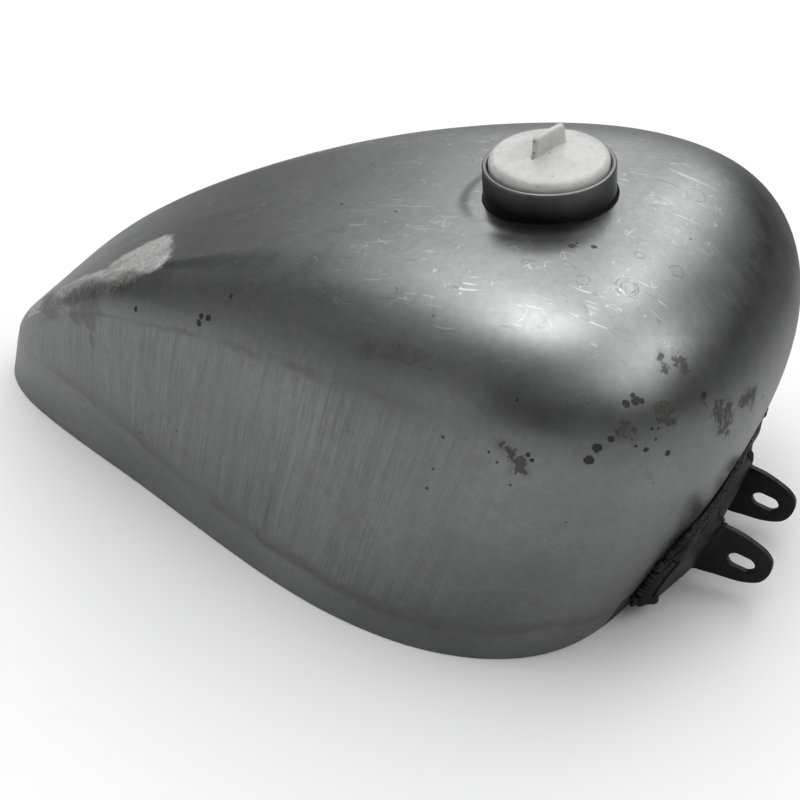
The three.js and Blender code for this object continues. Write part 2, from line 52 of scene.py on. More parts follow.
# ------------------------------------------------------------------ body dimensions, mm
# control points (x, y) of the left half's plan curves, tail to nose
TAIL_X, SHOULDER_NOSE_X, LOWER_NOSE_X = -5.38, 446.97, 392.87
SHOULDER = np.array([
    (0, 0), (0, 1.69), (9.13, 27.83), (125.91, 71.25), (271.4, 115.65), (395.97, 130.13),
    (SHOULDER_NOSE_X, 85.79), (SHOULDER_NOSE_X, 0)])
LOWER = np.array([
    (TAIL_X, 0), (TAIL_X, 10.62), (13.1, 36.8), (120.43, 71.12), (253.21, 128.55), (351.92, 129.37),
    (LOWER_NOSE_X, 80.55), (LOWER_NOSE_X, 0)])
# control values at the same stations: bend length down the wall and over the top, the centre-line x
# each section runs to, and the wall's outward bulge
WALL_BEND = np.array([3.7, 3.7, 3.7, 19.12, 66.25, 73.46, 91.14, 91.14])
TOP_BEND = np.array([3.81, 3.81, 3.81, 15.18, 62.46, 82.56, 101.9, 101.9])
SPINE_X = np.array([
    21.81, 21.81, 21.81 * 0.6 + 141.74 * 0.4, 141.74, 252.17, 302.11, 303.13, 303.13])
BULGE = np.array([0, 0, 0, 0.83, 0.83, 0.83, 10.6, 10.6])
# control heights of the centre line over SPAN, and the top's drop at 100 mm from it
TOP_HEIGHTS = np.array([24.23, 75.95, 121.53, 168.43, 188.71, 180.53, 170.87])
SPAN, CROWN_DROP = 460.0, 0.9
SKIN = 1.2
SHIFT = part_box("left_half")[0].x / MM - TAIL_X

# ------------------------------------------------------------------ neck and plug dimensions, mm
NECK_X, NECK_TILT, NECK_R, NECK_H, NECK_BELOW = 320.03, -2.5, 30.9, 16.2, 8.0
NECK_BORE, NECK_SEAT, NECK_ROOT, NECK_MINOR, PITCH = 28.4, 5.6, 27.2, 26.0, 5.0
HOLE_R = 29.0
PLUG_R, PLUG_RISE = 28.1, 4.2
SKIRT_R, SKIRT_H, SKIRT_WALL, PLUG_MAJOR = 25.0, 15.0, 2.2, 26.7
FIN_L, FIN_T, FIN_TURN = 21.0, 3.8, 71.0
SEAL_T = 1.6
SEAT_Z = NECK_H - NECK_SEAT
DISC_Z = SEAT_Z + SEAL_T + 0.5
PLUG_TOP = NECK_H + PLUG_RISE
THREAD_Z = -4.5

# ------------------------------------------------------------------ bracket dimensions, mm
EAR_GAP, EAR_T = 50.3, 3.0
EAR_Y = EAR_GAP / 2
BEND_R = 3.6     # middle radius of the bend between ear and outboard leg
SLOT_L, SLOT_W, SLOT_X, SLOT_Z, SLOT_TURN = 13.8, 8.4, 432.3, 18.8, -13.0
ROOT_X0, ROOT_Z0, ROOT_X1, ROOT_Z1 = 410.0, 6.8, 421.7, 38.2
FLANGE_Y, RETURN_Y, FLANGE_Z0, PLATE_GAP = 66.0, 59.0, ROOT_Z0 + 4, 0.5
LIP_Z, LIP_TOP, LIP_END = 48.0, 50.0, 40.5
# ear outline (x, z), from the top of the root round the tip to the lower root
EAR = [(421.7, 38.2), (431.0, 35.7), (439.4, 31.6), (444.6, 27.8), (447.4, 22.7), (446.3, 15.3),
       (441.6, 9.3), (432.4, 6.75), (420.3, 7.0), (412.5, 6.9)]


# ------------------------------------------------------------------ mesh helpers
def smooth(t):
    t = np.clip(t, 0.0, 1.0)
    return t * t * (3 - 2 * t)


def build(name, replaces, mesh, material, sharp, body="tank", **attributes):
    """One object from (vertices, faces) in mm, body frame; it rides a body and stands for a node."""
    verts = np.array(mesh[0], float).reshape(-1, 3)
    verts[:, 0] += SHIFT
    data = bpy.data.meshes.new(name)
    data.from_pydata((verts * MM).tolist(), [], [tuple(int(i) for i in f) for f in mesh[1]])
    data.validate()
    data.update()
    for key, values in attributes.items():
        values = np.asarray(values, np.float32)
        scalar = values.ndim == 1
        layer = data.attributes.new(key, "FLOAT" if scalar else "FLOAT_VECTOR", "POINT")
        layer.data.foreach_set("value" if scalar else "vector", values.ravel())
    data.polygons.foreach_set("use_smooth", [True] * len(data.polygons))
    if sharp is not None:
        data.set_sharp_from_angle(angle=math.radians(sharp))
    ob = bpy.data.objects.new(name, data)
    SCENE.collection.objects.link(ob)
    data.materials.append(material)
    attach(ob, body)
    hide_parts(replaces)
    return ob


def merge(*meshes):
    verts, faces, count = [], [], 0
    for v, f in meshes:
        verts.append(v)
        faces += [tuple(i + count for i in face) for face in f]
        count += len(v)
    return np.concatenate(verts), faces


def outward(verts, faces):
    """Turns all faces over if they enclose a negative volume."""
    volume = 0.0
    verts = np.asarray(verts, float)
    for f in faces:
        for k in range(1, len(f) - 1):
            volume += float(np.dot(verts[f[0]], np.cross(verts[f[k]], verts[f[k + 1]])))
    return verts, (faces if volume > 0 else [tuple(reversed(f)) for f in faces])


def tube(verts, size):
    """Joins successive rings of `size` vertices and caps both ends."""
    last = len(verts) - size
    faces = []
    for start in range(0, last, size):
        for k in range(size):
            a, b = start + k, start + (k + 1) % size
            faces.append((a, b, b + size, a + size))
    faces += [tuple(range(size))[::-1], tuple(range(last, last + size))]
    return outward(verts, faces)


def lathe(profile, segments):
    """Turns a profile of (radius, z), closed or with both ends on the axis, round z."""
    verts, faces, rings = [], [], []
    closed = profile[0] == profile[-1]
    if closed:
        profile = profile[:-1]
    for r, z in profile:
        count = 1 if abs(r) < 1e-9 else segments
        rings.append(range(len(verts), len(verts) + count))
        for i in range(count):
            turn = 2 * math.pi * i / segments
            verts.append((0, 0, z) if count == 1 else (r * math.cos(turn), r * math.sin(turn), z))
    for k in range(len(rings) if closed else len(rings) - 1):
        a, b = rings[k], rings[(k + 1) % len(rings)]
        for i in range(segments):
            j = (i + 1) % segments
            quad = [a[i % len(a)], a[j % len(a)], b[j % len(b)], b[i % len(b)]]
            quad = tuple(dict.fromkeys(quad))
            if len(quad) > 2:
                faces.append(quad)
    return outward(verts, faces)


def round_profile(points, radii, steps):
    """Replaces corners by arcs, one radius per corner; 0 keeps the corner."""
    closed = points[0] == points[-1]
    corners = [np.array(p, float) for p in (points[:-1] if closed else points)]
    out = []
    for i, (corner, radius) in enumerate(zip(corners, radii)):
        if radius <= 0:
            out.append(tuple(corner))
            continue
        before, after = corners[i - 1] - corner, corners[(i + 1) % len(corners)] - corner
        u, w = before / np.linalg.norm(before), after / np.linalg.norm(after)
        half = math.acos(max(-1, min(1, float(u @ w)))) / 2
        cut = min(radius / math.tan(half), 0.49 * np.linalg.norm(before),
                  0.49 * np.linalg.norm(after))
        r = cut * math.tan(half)
        centre = corner + (u + w) / np.linalg.norm(u + w) * (r / math.sin(half))
        first, last = corner + u * cut - centre, corner + w * cut - centre
        start, end = math.atan2(first[1], first[0]), math.atan2(last[1], last[0])
        sweep = (end - start + math.pi) % (2 * math.pi) - math.pi
        for k in range(steps + 1):
            t = start + sweep * k / steps
            out.append((centre[0] + r * math.cos(t), centre[1] + r * math.sin(t)))
    if closed:
        out.append(out[0])
    return out


def poly_dist(points, poly):
    """Signed distance to a closed outline, negative inside."""
    dist = np.full(len(points), 1e9)
    inside = np.zeros(len(points), bool)
    for i in range(len(poly)):
        a, b = poly[i], poly[(i + 1) % len(poly)]
        ab = b - a
        t = np.clip(((points - a) @ ab) / (ab @ ab), 0, 1)
        dist = np.minimum(dist, np.linalg.norm(points - (a + t[:, None] * ab), axis=1))
        crosses = (a[1] > points[:, 1]) != (b[1] > points[:, 1])
        with np.errstate(divide="ignore", invalid="ignore"):
            x = (b[0] - a[0]) * (points[:, 1] - a[1]) / (b[1] - a[1]) + a[0]
        inside ^= crosses & (points[:, 0] < x)
    return np.where(inside, -dist, dist)


# ------------------------------------------------------------------ body surface
def spline_basis(count, t):
    """Clamped uniform cubic B-spline basis, one row per t."""
    t = np.clip(t, 0, 1 - 1e-9)
    spans = count - 3
    knots = np.clip(np.arange(count + 4) - 3, 0, spans) / spans
    basis = ((t[:, None] >= knots[:-1]) & (t[:, None] < knots[1:])).astype(float)
    for d in range(1, 4):
        raised = np.zeros((len(t), basis.shape[1] - 1))
        for i in range(raised.shape[1]):
            left, right = knots[i + d] - knots[i], knots[i + d + 1] - knots[i + 1]
            if left > 0:
                raised[:, i] += (t - knots[i]) / left * basis[:, i]
            if right > 0:
                raised[:, i] += (knots[i + d + 1] - t) / right * basis[:, i + 1]
        basis = raised
    return basis[:, :count]


TOP_T = np.linspace(0, 1, 4001)
TOP_LINE = spline_basis(7, TOP_T) @ TOP_HEIGHTS


def top_z(x, y):
    centre = np.interp(np.clip(np.asarray(x, float) / SPAN, 0, 1), TOP_T, TOP_LINE)
    return centre - CROWN_DROP * (np.asarray(y, float) / 100) ** 2


NECK_Z = float(top_z(NECK_X, 0))


def skin(along, across):
    """Left outer skin, grid [along, across, xyz]; across 0-1 is wall, 1-2 bend, 2-3 top."""
    weights = spline_basis(8, along)
    plan, lower_plan = weights @ SHOULDER, weights @ LOWER
    wall_bend, top_bend = weights @ WALL_BEND, weights @ TOP_BEND
    spine, bulge = weights @ SPINE_X, weights @ BULGE
    shoulder = np.c_[plan, top_z(plan[:, 0], plan[:, 1])]
    lower = np.c_[lower_plan, 0 * spine]
    inward = np.c_[spine, 0 * spine] - plan
    reach = np.linalg.norm(inward, axis=1)
    inward = inward / reach[:, None]
    top_bend = np.minimum(top_bend, 0.9 * reach)
    height = np.linalg.norm(shoulder - lower, axis=1)
    wall_bend = np.minimum(wall_bend, 0.9 * height)
    middle = (shoulder + lower) / 2
    middle[:, :2] -= inward * bulge[:, None] * 2
    wall_end = 1 - wall_bend / height

    def wall(t):
        t = t[:, None]
        return (1 - t) ** 2 * lower + 2 * t * (1 - t) * middle + t * t * shoulder

    def top(distance):
        q = plan + inward * distance[:, None]
        return np.c_[q, top_z(q[:, 0], q[:, 1])]

    t = wall_end[:, None]
    slope = (1 - t) * (middle - lower) + t * (shoulder - middle)
    slope /= np.linalg.norm(slope, axis=1)[:, None]
    slant = top(top_bend + 0.5) - top(top_bend - 0.5)
    slant /= np.linalg.norm(slant, axis=1)[:, None]
    # the bend is a cubic Bezier between the wall's end and the top's start
    start, end = wall(wall_end), top(top_bend)
    handle1 = start + slope * (0.62 * wall_bend)[:, None]
    handle2 = end - slant * (0.62 * top_bend)[:, None]
    out = []
    for v in across:
        if v <= 1:
            out.append(wall(wall_end * v))
        elif v >= 2:
            out.append(top(top_bend + (reach - top_bend) * (v - 2)))
        else:
            s = v - 1
            out.append((1 - s) ** 3 * start + 3 * s * (1 - s) ** 2 * handle1
                       + 3 * s * s * (1 - s) * handle2 + s ** 3 * end)
    return np.stack(out, 1)


NOSE = skin(0.62 + 0.38 * np.linspace(0, 1, 121), 2 * np.linspace(0, 1, 61))


@lru_cache(None)
def nose_plan(z):
    """Plan line (x, y) of the nose skin at a height, sorted by y."""
    out = []
    for row in NOSE:
        above = row[:, 2] >= z
        j = int(np.argmax(above)) if above.any() else len(row) - 1
        if j == 0:
            out.append(row[0, :2])
            continue
        low, high = row[j - 1], row[j]
        t = (z - low[2]) / (high[2] - low[2]) if high[2] > low[2] else 1.0
        out.append(low[:2] + (high[:2] - low[:2]) * min(max(t, 0.0), 1.0))
    out = np.array(out)
    return out[np.argsort(out[:, 1])]


def nose_x(y, z):
    plan = nose_plan(round(float(z), 2))
    return float(np.interp(abs(y), plan[:, 1], plan[:, 0]))


def normals(grid):
    n = np.cross(np.gradient(grid, axis=1), np.gradient(grid, axis=0))
    n /= np.linalg.norm(n, axis=-1)[..., None] + 1e-12
    return n


# ------------------------------------------------------------------ skin marks and their outlines
# height of the shallow groove along the lower edge, drawn dark with painted shade: body frame x, z
GROOVE_X = [20, 60, 94, 149, 215, 300, 337, 370, 390]
GROOVE_Z = [29, 35, 33, 24.5, 19.5, 14.5, 15.5, 20, 14]
# upper limit of the drawn side panel: row frame x in mm, skin coordinate across
PANEL_X = [-200, -155, -118, -82, -42, 39, 126, 169, 230]
PANEL_LIMIT = [0.93, 0.97, 1.05, 1.08, 1.15, 1.18, 1.21, 1.12, 1.0]
# patches ground bright beside the right half's crease, plan outlines (x, |y|) in the row frame, mm
GROUND = [
    [(-195.5, 31.5), (-190, 27.5), (-170.2, 36.5), (-156, 38.0), (-145.7, 35.5), (-128.7, 39.5),
     (-120, 47), (-117.0, 57), (-126.4, 54.5), (-138.0, 52.0), (-153.7, 47.5), (-171.1, 41.5),
     (-186, 36.5)],
    [(-125.0, 50.0), (-129.6, 33.5), (-127.3, 26.2), (-120.0, 20.5), (-113.9, 16.0),
     (-105.9, 14.5), (-99.0, 20.0), (-91.5, 31.8), (-83.0, 47.4), (-82.5, 57.0), (-91.1, 59.0),
     (-101.2, 60.0), (-113.2, 59.0), (-121, 57.5)]]
# the brackets' black paint runs over onto the nose sheet, outline (|y|, z)
PAINTED = np.array([
    (-5, 57.5), (30, 57), (40, 54.5), (50, 50.5), (58, 46.0), (65, 40.5), (70, 31), (74, 20),
    (77, 9), (76, -3), (-5, -3)], float)

ALONG_STEPS, WALL_STEPS, BEND_STEPS, TOP_STEPS = 240, 26, 34, 44
ALONG = np.linspace(0, 1, ALONG_STEPS + 1)
ACROSS = np.concatenate([
    np.arange(WALL_STEPS) / WALL_STEPS, 1 + np.arange(BEND_STEPS) / BEND_STEPS,
    2 + np.arange(TOP_STEPS + 1) / TOP_STEPS])


def platform(x, y):
    """Height of the low round seat pressed round the neck, fuller towards the tail."""
    dx, dy = x - NECK_X, y
    r = np.hypot(dx, dy)
    t = np.maximum(0.0, (-0.97 * dx + 0.24 * dy) / (r + 1e-6))
    return (0.22 + 0.75 * t * t) * smooth((43.0 - r) / 6.5)


def pin_edges(grid):
    """Puts the edges on the centre plane at y = 0 and the lower edge at z = 0."""
    grid[:, -1, 1] = 0
    grid[0, :, 1] = 0
    grid[-1, :, 1] = 0
    grid[:, 0, 2] = 0


def finished_grids(side):
    """Outer and inner skin grids of a half, drawn at +y, and the outer height over the groove line.
    """
    outer = skin(ALONG, ACROSS)
    normal = normals(outer)
    level = normal.copy()
    level[..., 2] = 0
    level /= np.linalg.norm(level, axis=-1)[..., None] + 1e-9
    over = outer[..., 2] - np.interp(outer[..., 0], GROOVE_X, GROOVE_Z)
    # the lower edge strip stands out a little, under a shallow groove
    flare = 0.55 * smooth(-over / 11.0) - 0.16 * np.exp(-((over - 1.5) / 3.2) ** 2)
    outer = outer + level * (flare * (ACROSS[None, :] < 1.6))[..., None]
    # hand-finished sheet: long shallow waves, none at the centre plane and the tail
    x, y, z = outer[..., 0], outer[..., 1] * side, outer[..., 2]
    z_start = over + np.interp(skin(ALONG, ACROSS)[..., 0], GROOVE_X, GROOVE_Z)
    wave = (np.sin(x / 17.0 + 0.6 * np.sin(y / 23.0)) * np.sin(y / 21.0 + z_start / 29.0 + 1.0)
            * 0.075
            + np.sin(x / 9.1 + y / 13.0 + 2.0) * np.sin(z_start / 11.0 + x / 31.0) * 0.028
            + np.sin((x + y) / 37.0 + 0.5) * 0.06)
    fade = smooth(outer[..., 1] / 12.0) * smooth((x - 8) / 30.0)
    outer = outer + normal * (wave * fade)[..., None]
    seat = platform(outer[..., 0], outer[..., 1])
    outer[..., 2] += np.where(ACROSS[None, :] > 1.4, seat, 0)
    normal = normals(outer)
    pin_edges(outer)
    pin_edges(normal)
    normal /= np.linalg.norm(normal, axis=-1)[..., None] + 1e-12
    inner = outer - normal * SKIN
    pin_edges(inner)
    return outer, inner, over


def half_skin(side):
    """Mesh of one half with a round hole under the neck, and its shading attributes."""
    outer, inner, over = finished_grids(side)
    rows, cols = outer.shape[:2]
    # quads inside the hole go; the vertices left on its rim move onto the circle
    r = np.hypot(outer[..., 0] - NECK_X, outer[..., 1])
    quad_r = (r[:-1, :-1] + r[1:, :-1] + r[1:, 1:] + r[:-1, 1:]) / 4
    keep = ~((quad_r < HOLE_R) & (ACROSS[:-1] > 1.4)[None, :])
    touches_kept = np.zeros((rows, cols), bool)
    touches_cut = np.zeros((rows, cols), bool)
    for i in (0, 1):
        for j in (0, 1):
            touches_kept[i:rows - 1 + i, j:cols - 1 + j] |= keep
            touches_cut[i:rows - 1 + i, j:cols - 1 + j] |= ~keep
    rim = touches_kept & touches_cut
    for grid in (outer, inner):
        dx, dy = grid[..., 0] - NECK_X, grid[..., 1]
        scale = np.where(rim, HOLE_R / np.maximum(np.hypot(dx, dy), 1e-6), 1.0)
        grid[..., 0] = NECK_X + dx * scale
        grid[..., 1] = dy * scale
    # faces: outer, inner, and the strips joining them along every open edge
    count = rows * cols
    index = np.arange(count).reshape(rows, cols)
    quads = np.stack([index[:-1, :-1], index[1:, :-1], index[1:, 1:], index[:-1, 1:]], -1)[keep]
    faces = [tuple(q) for q in quads]
    faces += [tuple(i + count for i in reversed(q)) for q in quads]
    edges = {}
    for q in quads:
        for k in range(4):
            a, b = int(q[k]), int(q[(k + 1) % 4])
            if (b, a) in edges:
                edges.pop((b, a))
            else:
                edges[a, b] = 1
    faces += [(b, a, a + count, b + count) for a, b in edges]
    verts = np.concatenate([outer.reshape(-1, 3), inner.reshape(-1, 3)])

    # surface coordinates and masks, in metres
    steps_u = np.linalg.norm(np.diff(outer[:, WALL_STEPS // 2], axis=0), axis=1)
    u = np.repeat(np.concatenate([[0], np.cumsum(steps_u)])[:, None], cols, 1)
    steps_v = np.linalg.norm(np.diff(outer, axis=1), axis=2)
    v = np.concatenate([np.zeros((rows, 1)), np.cumsum(steps_v, axis=1)], 1)
    surface = np.stack([u, v, np.full_like(u, side)], -1).reshape(-1, 3) * MM
    row_x, y = verts[:, 0] + SHIFT, np.abs(verts[:, 1])
    across = np.tile(ACROSS, rows * 2)
    ground = np.full(len(verts), -1.0)
    for poly in (GROUND if side < 0 else []):
        ground = np.maximum(ground, -poly_dist(np.stack([row_x, y], -1), np.array(poly)) * MM)
    black = -poly_dist(np.stack([y, verts[:, 2]], -1), PAINTED)
    black = np.where((verts[:, 0] > 340) & (across < 1.2), black, -60.0) * MM
    attributes = dict(
        tk_st=np.concatenate([surface] * 2),
        tk_outer=np.r_[np.ones(count), np.zeros(count)],
        tk_line=np.tile(over.reshape(-1), 2) * MM,
        tk_ground=np.where(across > 1.12, ground, -1.0),
        tk_v=across,
        tk_vl=across - np.interp(row_x, PANEL_X, PANEL_LIMIT),
        tk_black=black)

    # vertices no face uses go away
    used = np.zeros(len(verts), bool)
    used[np.array([i for f in faces for i in f])] = True
    renumber = np.cumsum(used) - 1
    faces = [tuple(int(renumber[i]) for i in f) for f in faces]
    verts = verts[used]
    if side < 0:
        verts = verts * np.array([1, -1, 1])
        faces = [tuple(reversed(f)) for f in faces]
    return outward(verts, faces), {key: values[used] for key, values in attributes.items()}


# ------------------------------------------------------------------ shader helpers
def operator(operation, swapped=False):
    def apply(self, other):
        pair = (other, self) if swapped else (self, other)
        return self.tree.math(operation, *pair)
    return apply


class Signal:
    """An output socket that takes arithmetic; each operation adds one Math node."""
    __add__, __radd__ = operator("ADD"), operator("ADD", swapped=True)
    __sub__, __rsub__ = operator("SUBTRACT"), operator("SUBTRACT", swapped=True)
    __mul__, __truediv__ = operator("MULTIPLY"), operator("DIVIDE")
    max, min = operator("MAXIMUM"), operator("MINIMUM")

    def __init__(self, tree, socket):
        self.tree, self.socket = tree, socket

    def ramp(self, start, end, low=0.0, high=1.0):
        """Smooth step from low at start to high at end."""
        return self.tree.add("ShaderNodeMapRange", {
            "Value": self, "From Min": start, "From Max": end, "To Min": low, "To Max": high},
            "Result", interpolation_type="SMOOTHSTEP")


class Tree:
    """Builds a node tree; inputs are signals or plain values."""

    def __init__(self, tree):
        self.tree = tree
        tree.nodes.clear()

    def node(self, kind, inputs, **settings):
        node = self.tree.nodes.new(kind)
        for key, value in settings.items():
            setattr(node, key, value)
        for key, value in inputs.items():
            if isinstance(value, Signal):
                self.tree.links.new(value.socket, node.inputs[key])
            elif value is not None:
                node.inputs[key].default_value = value
        return node

    def add(self, kind, inputs, output=0, **settings):
        return Signal(self, self.node(kind, inputs, **settings).outputs[output])

    def math(self, operation, a, b=None, c=None, clamp=False):
        return self.add("ShaderNodeMath", {0: a, 1: b, 2: c}, operation=operation, use_clamp=clamp)

    def vector(self, operation, a, b=None, scale=None):
        output = "Value" if operation in ("DISTANCE", "DOT_PRODUCT") else "Vector"
        return self.add("ShaderNodeVectorMath", {0: a, 1: b, "Scale": scale}, output,
                        operation=operation)

    def attribute(self, name, output="Fac"):
        return self.add("ShaderNodeAttribute", {}, output, attribute_name=name)

    def noise(self, pos, scale, detail=2.0, rough=0.5, distortion=0.0, output="Fac"):
        return self.add("ShaderNodeTexNoise", {
            "Vector": pos, "Scale": scale, "Detail": detail, "Roughness": rough,
            "Distortion": distortion}, output)

    def voronoi(self, pos, scale, output="Distance", feature="F1"):
        return self.add("ShaderNodeTexVoronoi", {"Vector": pos, "Scale": scale}, output,
                        feature=feature)

    def mapping(self, pos, turn, scale, location=(0, 0, 0)):
        """Position turned about z by degrees, scaled and moved."""
        return self.add("ShaderNodeMapping", {
            "Vector": pos, "Location": location, "Rotation": (0, 0, math.radians(turn)),
            "Scale": scale})

    def mix(self, factor, a, b):
        a, b = ((*c, 1.0) if isinstance(c, tuple) else c for c in (a, b))
        return self.add("ShaderNodeMix", {0: factor, 6: a, 7: b}, 2, data_type="RGBA")

    def mix_float(self, factor, a, b):
        return self.add("ShaderNodeMix", {0: factor, 2: a, 3: b}, data_type="FLOAT")

    def separate(self, vector):
        node = self.node("ShaderNodeSeparateXYZ", {0: vector})
        return [Signal(self, socket) for socket in node.outputs]

    def bump(self, height, strength, distance):
        return self.add("ShaderNodeBump", {
            "Strength": strength, "Distance": distance, "Height": height}, "Normal")

    def jitter(self, pos, distance, scale, detail, rough=0.5, source=None):
        """Position moved about by colour noise, sampled at source if given."""
        noise = self.noise(source or pos, scale, detail, rough, output="Color")
        offset = self.vector("SUBTRACT", noise, (0.5, 0.5, 0.5))
        return self.vector("ADD", pos, self.vector("SCALE", offset, scale=distance))

    def group(self, group, *values):
        return self.add("ShaderNodeGroup", dict(enumerate(values)), node_tree=group)

    def spot(self, pos, x, y, z, radius):
        """Depth inside a ball given in mm, negative outside."""
        return self.group(SPOT, pos, (x * MM, y * MM, z * MM), radius * MM)

    def capsule(self, pos, start, end, half_width):
        """Mask, 0 to 1, of a tapering line given in mm."""
        ends = (tuple(c * MM for c in point) for point in (start, end))
        return self.group(CAPSULE, pos, *ends, half_width * MM)


def new_group(name, **inputs):
    group = bpy.data.node_groups.new(name, "ShaderNodeTree")
    for key, kind in inputs.items():
        group.interface.new_socket(key, in_out="INPUT", socket_type="NodeSocket" + kind)
    group.interface.new_socket("M", in_out="OUTPUT", socket_type="NodeSocketFloat")
    tree = Tree(group)
    sockets = tree.node("NodeGroupInput", {}).outputs
    return group, tree, [Signal(tree, sockets[i]) for i in range(len(inputs))]


def capsule_group():
    group, tree, (pos, start, end, width) = new_group(
        "capsule_mask", P="Vector", A="Vector", B="Vector", W="Float")
    offset, line = tree.vector("SUBTRACT", pos, start), tree.vector("SUBTRACT", end, start)
    t = tree.math("DIVIDE", tree.vector("DOT_PRODUCT", offset, line),
                  tree.vector("DOT_PRODUCT", line, line), clamp=True)
    distance = tree.vector("DISTANCE", offset, tree.vector("SCALE", line, scale=t))
    taper = 1.15 - tree.math("ABSOLUTE", t * 2.0 - 1.0)
    mask = tree.math("SUBTRACT", 1.0, distance / (width * taper), clamp=True)
    tree.node("NodeGroupOutput", {0: mask})
    return group


def spot_group():
    group, tree, (pos, centre, radius) = new_group("spot_mask", P="Vector", C="Vector", R="Float")
    tree.node("NodeGroupOutput", {0: radius - tree.vector("DISTANCE", pos, centre)})
    return group


CAPSULE, SPOT = capsule_group(), spot_group()


def new_material(name):
    """A material, its tree and the object position."""
    material = bpy.data.materials.new(name)
    material.use_nodes = True
    tree = Tree(material.node_tree)
    return material, tree, tree.add("ShaderNodeTexCoord", {}, "Object")


def shade(tree, color, rough, **inputs):
    """Principled surface; underscores in input names stand for spaces."""
    named = {key.replace("_", " "): value for key, value in inputs.items()}
    surface = tree.add("ShaderNodeBsdfPrincipled",
                       {"Base Color": color, "Roughness": rough, **named})
    tree.node("ShaderNodeOutputMaterial", {"Surface": surface})


# ------------------------------------------------------------------ marks on the sheet, row frame, mm
# dark water spots: x, y, z, radius
SPOTS = [
    (-89.7, -71.2, 110.9, 1.5), (-43.6, -85.9, 124.0, 1.75), (-42.9, -84.7, 127.4, 1.5),
    (-38.0, -86.1, 128.5, 1.8), (-26.9, -81.9, 141.3, 1.15), (-2.4, -14.7, 160.5, 1.0),
    (31.7, -24.8, 170.1, 0.9), (126.2, -41.3, 183.2, 1.9), (127.3, -38.1, 183.3, 0.85),
    (135.2, -37.9, 183.2, 1.25), (164.2, -113.6, 127.6, 2.2), (166.7, -111.2, 133.1, 2.1),
    (171.4, -107.5, 136.7, 1.6), (174.0, -98.4, 149.6, 1.77), (175.6, -94.7, 152.3, 1.1),
    (177.3, -95.3, 150.0, 1.94), (179.4, -93.6, 149.6, 1.1), (191.8, -92.6, 125.2, 1.46),
    (184.5, -99.8, 129.9, 1.02), (181.0, -102.2, 132.5, 0.76), (185.1, -95.5, 138.2, 0.68),
    (187.3, -93.4, 137.4, 0.77), (187.3, -95.6, 133.1, 0.68), (198.6, -67.9, 141.3, 1.6),
    (212.8, -19.6, 112.4, 0.74), (139.1, -120.5, 127.4, 1.11), (141.2, -120.5, 125.2, 1.11),
    (122.2, -122.6, 125.0, 0.6), (126.1, -122.9, 121.0, 0.69), (132.3, -122.9, 110.4, 0.6),
    (131.2, -114.1, 149.0, 0.9), (100.4, -122.2, 126.0, 0.78), (93.2, -124.0, 96.7, 0.8),
    (96.1, -123.7, 108.1, 0.6)]
# broader broken stains: x, y, z, radius
STAINS = [
    (175.1, -103.7, 139.9, 3.6), (179.0, -101.8, 137.7, 2.2), (187.7, -88.6, 143.5, 5.0),
    (190.8, -87.8, 138.6, 2.2), (204.1, -62.2, 131.1, 4.6), (206.1, -56.1, 128.7, 3.6),
    (205.9, -61.2, 123.4, 4.6), (207.7, -54.9, 121.8, 3.0), (207.7, -56.5, 116.4, 1.6),
    (209.4, -43.6, 123.5, 3.4), (210.1, -38.5, 123.6, 3.8), (211.2, -32.3, 121.4, 3.6),
    (211.4, -33.5, 117.3, 2.6), (127.5, -121.5, 129.3, 1.9), (129.6, -121.5, 128.1, 2.2),
    (132.4, -121.6, 125.9, 2.6), (135.7, -121.6, 123.2, 3.0), (134.6, -122.2, 118.9, 1.9),
    (138.5, -121.6, 119.2, 1.5), (180.2, -75.4, 161.7, 1.5), (183.5, -77.8, 157.5, 2.2),
    (187.4, -69.8, 157.1, 3.6), (189.6, -70.4, 154.4, 2.6), (58.0, -107.1, 149.1, 4.2),
    (65.9, -108.2, 150.4, 2.8), (72.3, -107.3, 153.8, 4.2), (82.1, -108.5, 154.6, 3.0),
    (7.5, -41.6, 163.4, 2.6), (11.7, -43.5, 164.6, 2.2)]
# soft dark wipe marks: start, end, half width
STREAKS = [
    ((188.6, -71.6, 155.0), (195.2, -70.8, 145.9), 3.2),
    ((194.5, -70.8, 147.0), (201.1, -68.4, 135.0), 2.8),
    ((187.0, -82.0, 147.0), (186.0, -86.5, 143.0), 4.5),
    ((37.0, -89.9, 160.9), (44.0, -92.0, 161.8), 1.2),
    ((21.2, -71.9, 164.6), (26.0, -70.0, 166.4), 0.8)]
# blotches: x, y, z, radius, strength
BLOTCHES = [
    (-130.0, -59.0, 90.0, 10.5, 0.40), (-141.0, -54.5, 83.0, 6.5, 0.34),
    (-120.0, -62.0, 96.0, 6.0, 0.32), (90.0, -124.0, 56.0, 15.0, 0.09),
    (110.0, -123.5, 62.0, 18.0, 0.10), (135.0, -121.0, 68.0, 17.0, 0.09)]
# smudges and painted crease shade: the first entry is a stain, the long chain along the tail is
# painted shade where the top turns into the side; start, end, half width, strength
SMUDGES_AND_CREASE_SHADE = [
    ((-128.6, -59.7, 80.7), (-127.0, -60.5, 68.0), 4.0, 0.35),
    ((-178.0, -37.0, 67.0), (-150.0, -48.6, 86.0), 9.0, 0.45),
    ((-156.0, -46.6, 82.0), (-108.0, -58.3, 113.5), 10.0, 0.60),
    ((-120.0, -56.3, 106.5), (-86.0, -60.0, 124.5), 10.0, 0.60),
    ((-93.0, -60.0, 121.5), (-62.0, -64.0, 131.0), 8.0, 0.35)]
# dried rings: x, y, z, radius
RINGS = [
    (159.6, 29.9, 179.1, 4.6), (139.6, -62.4, 181.3, 3.0), (157.4, -56.0, 178.6, 5.2),
    (157.9, -55.6, 178.5, 3.4), (77.5, -108.0, 154.1, 4.2), (90.3, -109.8, 154.6, 3.4),
    (171.0, -29.4, 174.7, 3.4), (154.6, -32.3, 180.5, 2.2), (60.0, -86.0, 168.0, 2.4),
    (112.0, -60.0, 182.0, 1.8)]
